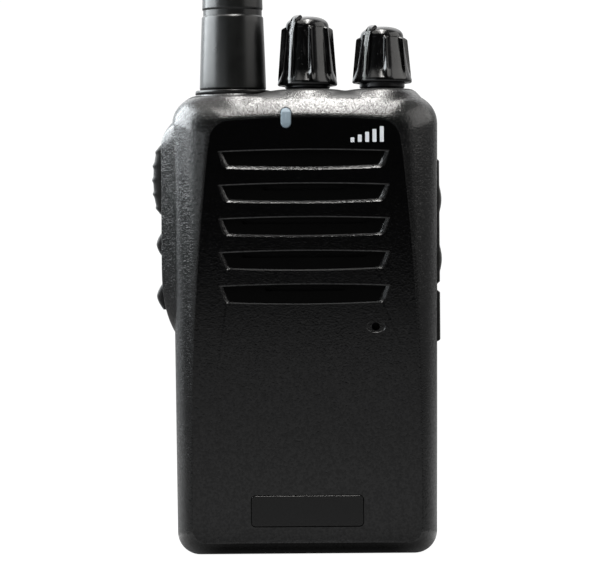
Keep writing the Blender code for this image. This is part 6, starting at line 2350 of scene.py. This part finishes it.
@dataclass
class BeltClip:
    """Belt clip: bracket with ears, pin, sprung arm, coil and screws."""

    pin: Point = (0.0212, 0.068)
    pin_radius: float = 0.001
    pin_head: tuple[Point, ...] = ((0.0003, 0.0009), (0.0013, 0.0008), (0.0016, 0.0006), (0.0016, 0.0003))
    half: float = 0.0096
    ear: float = 0.002
    ear_feet: Point = (0.0036, 0.0046)
    plate: Point = (0.0168, 0.0184)
    plate_span: Point = (0.0605, 0.0785)
    barrel: float = 0.0023
    arm_half: float = 0.0073
    arm_corners: tuple[Point, ...] = (
        (0.0223, 0.0818), (0.0223, 0.0366), (0.0179, 0.0272), (0.0196, 0.0203)
    )
    arm_round: float = 0.003
    arm_step: float = 0.0008
    arm_ends: Point = (0.0022, 0.0045)
    arm_waist: float = 0.0008
    thick: float = 0.0018
    coil_room: float = 0.0028
    thumb_groove: float = 0.0796
    thumb_pitch: float = 0.0011
    screw_length: float = 0.0046

    def build_bracket(self) -> Piece:
        """Plate screwed to the battery, with two ears for the pin.

        Returns:
            The bracket.
        """
        (front, face), (low, high), half = self.plate, self.plate_span, self.half
        plate = block((-half, front, low), (half, face, high), 0.0005)
        bracket = Piece("clip_base", CLIP_PLASTIC, plate)
        root, z, (near, far) = front + 0.0006, self.pin[1], self.ear_feet
        ear = [(root, z - far), (face, z - near), *arc(self.pin, self.barrel, -50, 50, 14)]
        ear += [(face, z + near), (root, z + far)]
        spans = ((-half, self.ear - half), (half - self.ear, half))
        bracket.work(Cut.ON, *[prism(ear, Axis.X, *span) for span in spans])
        tools = [rod(Axis.X, self.pin, self.pin_radius + SHELL.fit, -half - PAST, half + PAST)]
        hole = screw_hole(face + PAST, face - HEAD_ROOM, face - 0.003)
        for side in (-1, 1):
            tools.append(turned(Axis.Y, (side * SHELL.clip_screw[0], SHELL.clip_screw[1]), hole, 40))
        return bracket.work(Cut.AWAY, *tools)

    def build_pin(self) -> Piece:
        """Hinge pin with two rounded heads.

        Returns:
            The pin.
        """
        profile = [(radius, -self.half - out) for radius, out in self.pin_head]
        profile.append((self.pin_radius, profile[-1][1]))
        return Piece("clip_hinge_pin", STEEL, turned(Axis.X, self.pin, mirrored(profile), 32))

    def arm_path(self) -> Outline:
        """Middle line of the arm.

        Returns:
            (Depth, height) pairs from its thumb tab to its flared tip.
        """
        corners = [Vector(corner) for corner in self.arm_corners]
        path = [self.arm_corners[0]]
        for before, here, after in zip(corners, corners[1:], corners[2:]):
            first, last = (here + (other - here).normalized() * self.arm_round for other in (before, after))
            path += curve(first, here, last, 8)
        path.append(self.arm_corners[-1])
        dense: Outline = []
        for start, end in zip(path, path[1:]):
            parts = max(1, round(math.dist(start, end) / self.arm_step))
            dense += zip(*(evenly(a, b, parts)[:-1] for a, b in zip(start, end)))
        return dense + [path[-1]]

    def arm_half_at(self, share: float, length: float) -> float:
        """Half the arm's width, with rounded ends and a slight waist.

        Args:
            share: A share of its length.
            length: Its length.

        Returns:
            Half the width.
        """
        near = min(share, 1 - share) * length
        radius = self.arm_ends[1] if share > 0.5 else self.arm_ends[0]
        narrow = self.arm_half - self.arm_waist * math.sin(math.pi * min(1.0, share * 1.1)) ** 2
        if near >= radius:
            return narrow
        t = 1 - near / radius
        return narrow - radius * 0.9 * (1 - math.sqrt(max(0.0, 1 - t * t)))

    def arm_strip(self) -> Solid:
        """The arm's crowned strip along its path, thinner at both ends.

        Returns:
            The strip.
        """
        path = self.arm_path()
        length = sum(math.dist(a, b) for a, b in zip(path, path[1:]))
        turns = [2 * math.pi * turn / 28 for turn in range(28)]
        rings = []
        run, last = 0.0, path[0]
        for place, along in zip(path, headings(path)):
            run += math.dist(last, place)
            last = place
            out = Vector((-along.y, along.x))
            out = out if out.x > 0 else -out
            half = self.arm_half_at(run / length, length)
            thick = self.thick / 2 * min(1.0, 0.45 + min(run, length - run) / 0.0012)
            ring = []
            for a in turns:
                off = thick * bend(math.sin(a), 0.5)
                x = half * bend(math.cos(a), 0.28)
                ring.append(Vector((x, place[0] + out.x * off, place[1] + out.y * off)))
            rings.append(ring)
        return loft(rings)

    def build_arm(self) -> Piece:
        """The arm with its barrel, the coil's room, the thumb tab's grooves and a sunk field.

        Returns:
            The arm.
        """
        arm = Piece("clip_spring_arm", CLIP_PLASTIC, self.arm_strip())
        arm.work(Cut.ON, rod(Axis.X, self.pin, self.barrel, -self.arm_half, self.arm_half, 48))
        arm.work(Cut.AWAY, rod(Axis.X, self.pin, self.pin_radius + SHELL.fit, -0.01, 0.01))
        (y, z), room, reach = self.pin, self.coil_room, self.barrel + SHELL.fit
        high = (room, y + self.pin_radius + 0.0009, z + reach)
        tools = [block((-room, y - reach, z - reach), high, 0.0003)]
        for i in range(5):
            z = self.thumb_groove - self.thumb_pitch * i
            tools.append(block((-0.0048, 0.0229, z - 0.0003), (0.0048, 0.0240, z + 0.0003), 0.00015))
        field = rectangle((0.0, 0.0525), 0.0072, 0.0250, 0.0030)
        tools.append(prism(field, Axis.Y, 0.02285, 0.0250))
        return arm.work(Cut.AWAY, *tools)

    def dress(self) -> None:
        """Builds the clip's pieces and hangs them."""
        self.build_bracket().shade(34.0).hang("battery", "clip_bracket")
        self.build_pin().shade(40.0).hang("battery", "clip_pin")
        self.build_arm().shade(40.0).hang("clip", "clip_arm")
        spring = Piece("clip_coil", STEEL, coil(Axis.X, self.pin, -0.0022, 0.0044, 0.0016, 0.0003, 4))
        spring.shade(60.0).hang("battery", "clip_spring")
        head = self.plate[1]
        Screw.pair("clip_base_screw", "clip_screw", SHELL.clip_screw, head, self.screw_length, "battery")


# Pieces inside the case


@dataclass
class Inside:
    """Solids that keep their own shape and only get a finish, and the chassis' fasteners."""

    screw: Point = (0.0195, 0.0066)
    screw_head: float = 0.0042
    screw_length: float = 0.010

    @staticmethod
    def finishes() -> dict[Finish, Sequence[str]]:
        """Names of the solids that keep their shape.

        Returns:
            The names by finish.
        """
        return {
            LENS: ["indicator_led"],
            NET: ["speaker_net"],
            CONE: ["speaker_cone"],
            CAST: ["chassis"],
            KEY_RUBBER: ["speaker_gasket", "microphone", "microphone_boot", "chassis_gasket"],
            BOARD: ["main_board", "side_switch_board", "battery_board"],
            STEEL: [
                "speaker_frame", "rf_shield", "ptt_switch", "upper_key_switch", "lower_key_switch",
                "volume_shaft", "channel_shaft",
            ],
            BLACK_STEEL: ["volume_control", "channel_switch"],
            BRASS: ["antenna_socket", "antenna_plug", "antenna_coil"],
            KNOB_GLOSS: ["jack_block"],
            CELL: ["battery_cell_left", "battery_cell_right"],
        }

    def dress(self, nodes: dict[str, bpy.types.Object]) -> None:
        """Gives the solids their finishes and builds the chassis' screws and terminals.

        Args:
            nodes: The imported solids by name.
        """
        for finish, names in self.finishes().items():
            for name in names:
                node = nodes[name]
                node.data.materials.clear()
                node.data.materials.append(finish.material())
                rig.slot(node, finish.slot)
                LOG.info("%s keeps its solid", name)
        Screw.pair("chassis_screw", "case_screw", self.screw, self.screw_head, self.screw_length, "case")
        low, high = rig.box("radio_terminals")
        strips = BatteryPack().build_terminals("radio_contact_strips", low.y + 0.0001, high.y - 0.0001)
        strips.shade(30.0).hang("case", "radio_terminals")


# Studio


@dataclass
class Studio:
    """Pale floor, soft lights and the camera."""

    floor_radius: float = 1.4
    floor_glow: float = 0.34
    side_glow: Point = (0.12, 0.05)
    # Painted light: strength of the bright ring painted into the floor's glow around the radio.
    ring_glow: float = 2.6
    # Painted shadow: share of the floor's glow left at the radio's foot.
    foot_painted_shadow: float = 0.06
    camera_place: tuple[float, float, float] = (-0.00127, -0.7905, 0.05976)
    camera_roll: float = 0.42
    lens: float = 213.0
    sensor: float = 36.0
    backdrop: float = 1.05
    room: float = 0.01
    left_wall: float = 0.08
    corner: float = 1.3
    right_wall: float = 0.26
    rear_wall: float = 0.7
    rear_sky: float = 1.8
    ceiling: float = 0.12
    far_floor: float = 0.44
    warm: Colour = (1.0, 0.985, 0.955)
    cool: Colour = (0.92, 0.97, 1.0)

    def floor(self) -> None:
        """A disc, white to the eye, that fades out; reflections see its painted glow, dark at the foot as a painted
        shadow and with a bright ring of painted light.
        """
        shape = bmesh.new()
        bmesh.ops.create_circle(shape, cap_ends=True, segments=96, radius=self.floor_radius)
        mesh = bpy.data.meshes.new("floor")
        shape.to_mesh(mesh)
        shape.free()
        floor = bpy.data.objects.new("floor", mesh)
        bpy.context.scene.collection.objects.link(floor)
        made = bpy.data.materials.new("pale_floor")
        made.use_nodes = True
        graph = Graph(made.node_tree)
        place = graph.node("ShaderNodeTexCoord", output="Object")
        far = graph.node("ShaderNodeVectorMath", {"operation": "LENGTH"}, {0: place}, "Value")
        across = graph.node("ShaderNodeSeparateXYZ", None, {0: place}, "X")
        eye = graph.node("ShaderNodeLightPath", output="Is Camera Ray")
        # Painted light and shade: reflections see the floor glow, brighter to the left and right, with a painted ring
        # of light around the radio and a painted shadow at its foot.
        left, right = (graph.ramp(across, side * 0.02, side * 0.25) for side in (-1, 1))
        sides = left * self.side_glow[0] + right * self.side_glow[1]
        ring = graph.ramp(far, 0.022, 0.035) * graph.ramp(far, 0.06, 0.045)
        painted_shadow_factor = self.foot_painted_shadow + graph.ramp(far, 0.018, 0.10) * (1 - self.foot_painted_shadow)
        glow = (self.floor_glow + sides + ring * self.ring_glow) * painted_shadow_factor
        glow = eye * 0.99 + (1 - eye) * glow
        paper = graph.mix(graph.noise(place, 90.0), (0.055, 0.055, 0.055), (0.06, 0.06, 0.06))
        surface = graph.node("ShaderNodeBsdfDiffuse", None, {"Color": paper, "Roughness": 0.5})
        shine = graph.node("ShaderNodeEmission", None, {"Color": (1.0, 1.0, 1.0, 1.0), "Strength": glow})
        lit = graph.node("ShaderNodeAddShader", None, {0: surface, 1: shine})
        clear = graph.node("ShaderNodeBsdfTransparent")
        fade = graph.ramp(far, self.floor_radius * 0.3, self.floor_radius * 0.97)
        mixed = graph.node("ShaderNodeMixShader", None, {0: fade, 1: lit, 2: clear})
        graph.node("ShaderNodeOutputMaterial", None, {"Surface": mixed})
        mesh.materials.append(made)
        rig.stage(floor)

    def surroundings(self) -> None:
        """White to the eye; reflections see a dark room, its walls, a bright corner and a bright sky."""
        world = bpy.data.worlds.new("studio")
        bpy.context.scene.world = world
        world.use_nodes = True
        graph = Graph(world.node_tree)
        way = graph.node("ShaderNodeTexCoord", output="Generated")
        parts = graph.node("ShaderNodeSeparateXYZ", None, {0: way}, "X").socket.node
        x, y, z = (Wire(graph, socket) for socket in parts.outputs)
        left = graph.ramp(x, -0.2, -0.6) * graph.ramp(y, -0.9, -0.5)
        corner = graph.ramp(y, 0.2, 0.5) * graph.ramp(x, 0.1, -0.25) * graph.ramp(z, 0.0, 0.08)
        right = graph.ramp(x, 0.2, 0.6) * graph.ramp(y, -0.9, -0.6) * graph.ramp(y, 0.8, 0.3)
        right = right * (0.35 + graph.ramp(z, 0.0, 0.05) * 0.65)
        rear = graph.ramp(y, 0.3, 0.75) * graph.ramp(z, 0.0, 0.05) * graph.ramp(z, 0.75, 0.4)
        sky = graph.ramp(y, 0.15, 0.5) * graph.ramp(z, 0.3, 0.7)
        high = graph.ramp(z, 0.35, 0.8) * self.ceiling + sky * self.rear_sky
        under = graph.ramp(z, -0.002, -0.018)
        glow = self.room + left * self.left_wall + corner * self.corner
        glow = glow + right * self.right_wall + rear * self.rear_wall + high
        ground = 1 - graph.ramp(x, 0.15, 0.6) * 0.65 - graph.ramp(x, -0.3, -0.8) * 0.5
        glow = glow * (1 - under) + under * ground * self.far_floor
        eye = graph.node("ShaderNodeLightPath", output="Is Camera Ray")
        strength = eye * self.backdrop + (1 - eye) * glow
        tint = graph.mix(left * (1 - eye), (1.0, 1.0, 1.0), self.cool)
        shade = graph.node("ShaderNodeBackground", None, {"Color": tint, "Strength": strength})
        graph.node("ShaderNodeOutputWorld", None, {"Surface": shade})

    @staticmethod
    def softbox(
        name: str, place: Sequence[float], aim: Sequence[float], size: Point, power: float, tint: Colour
    ) -> None:
        """A soft rectangular light.

        Args:
            name: Its name.
            place: Where it hangs.
            aim: The point that it faces.
            size: Width and height.
            power: Watts.
            tint: Its colour.
        """
        light = bpy.data.lights.new(name, "AREA")
        light.shape = "RECTANGLE"
        light.size, light.size_y = size
        light.energy = power
        light.color = tint
        obj = bpy.data.objects.new(name, light)
        bpy.context.scene.collection.objects.link(obj)
        obj.location = place
        obj.rotation_euler = (Vector(aim) - Vector(place)).to_track_quat("-Z", "Y").to_euler()
        obj.visible_camera = False

    def camera(self) -> None:
        """The camera, level in front of the radio."""
        data = bpy.data.cameras.new("camera")
        data.lens = self.lens
        data.sensor_width = self.sensor
        camera = bpy.data.objects.new("camera", data)
        camera.location = self.camera_place
        camera.rotation_euler = (math.pi / 2, math.radians(self.camera_roll), 0.0)
        bpy.context.scene.collection.objects.link(camera)
        bpy.context.scene.camera = camera

    def build(self) -> None:
        """Sets up the studio."""
        self.floor()
        self.surroundings()
        warm, cool = self.warm, self.cool
        self.softbox("overhead", (0.012, -0.19, 0.46), (0.012, -0.19, 0.0), (0.05, 0.54), 2.0, warm)
        self.softbox("overhead_wide", (0.012, -0.19, 0.47), (0.012, -0.19, 0.0), (0.17, 0.54), 2.0, warm)
        self.softbox("beside", (-0.3, 0.016, 0.28), (0.0, 0.0, 0.28), (0.326, 0.30), 4.2, cool)
        self.softbox("beside_right", (0.293, -0.062, 0.29), (0.0, 0.0, 0.29), (0.36, 0.27), 0.62, warm)
        self.softbox("overhead_left", (-0.2, -0.15, 0.45), (-0.2, -0.15, 0.0), (0.28, 0.45), 0.7, warm)
        self.softbox("beside_low", (-0.212, -0.212, 0.1125), (0.0, 0.0, 0.1125), (0.24, 0.055), 0.07, cool)
        self.camera()
        bpy.context.scene.view_settings.view_transform = "Standard"


def main() -> None:
    """Loads the solids, builds each sub-assembly around them and notes the boxes of both."""
    logging.basicConfig(level=logging.INFO, format="%(message)s")
    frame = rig.load()
    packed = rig.bounds()
    Studio().build()
    FrontCase().dress()
    FrontTrim().dress()
    Knob("volume", SHELL.volume_x, 0.1031, 0.01535, POINTER_PAINT).dress()
    Knob("channel", SHELL.channel_x, 0.1036, 0.0125, DIM_POINTER_PAINT).dress()
    Antenna().dress()
    SideKeys().dress()
    JackCover().dress()
    RearCover().dress()
    BatteryPack().dress()
    BeltClip().dress()
    Inside().dress(frame["nodes"])
    boxes = {"cad": packed, "visual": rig.bounds()}
    with open(SIZE_FILE, "w", encoding="utf-8") as file:
        json.dump({name: [list(map(float, corner)) for corner in box] for name, box in boxes.items()}, file)


if __name__ == "__main__":
    main()
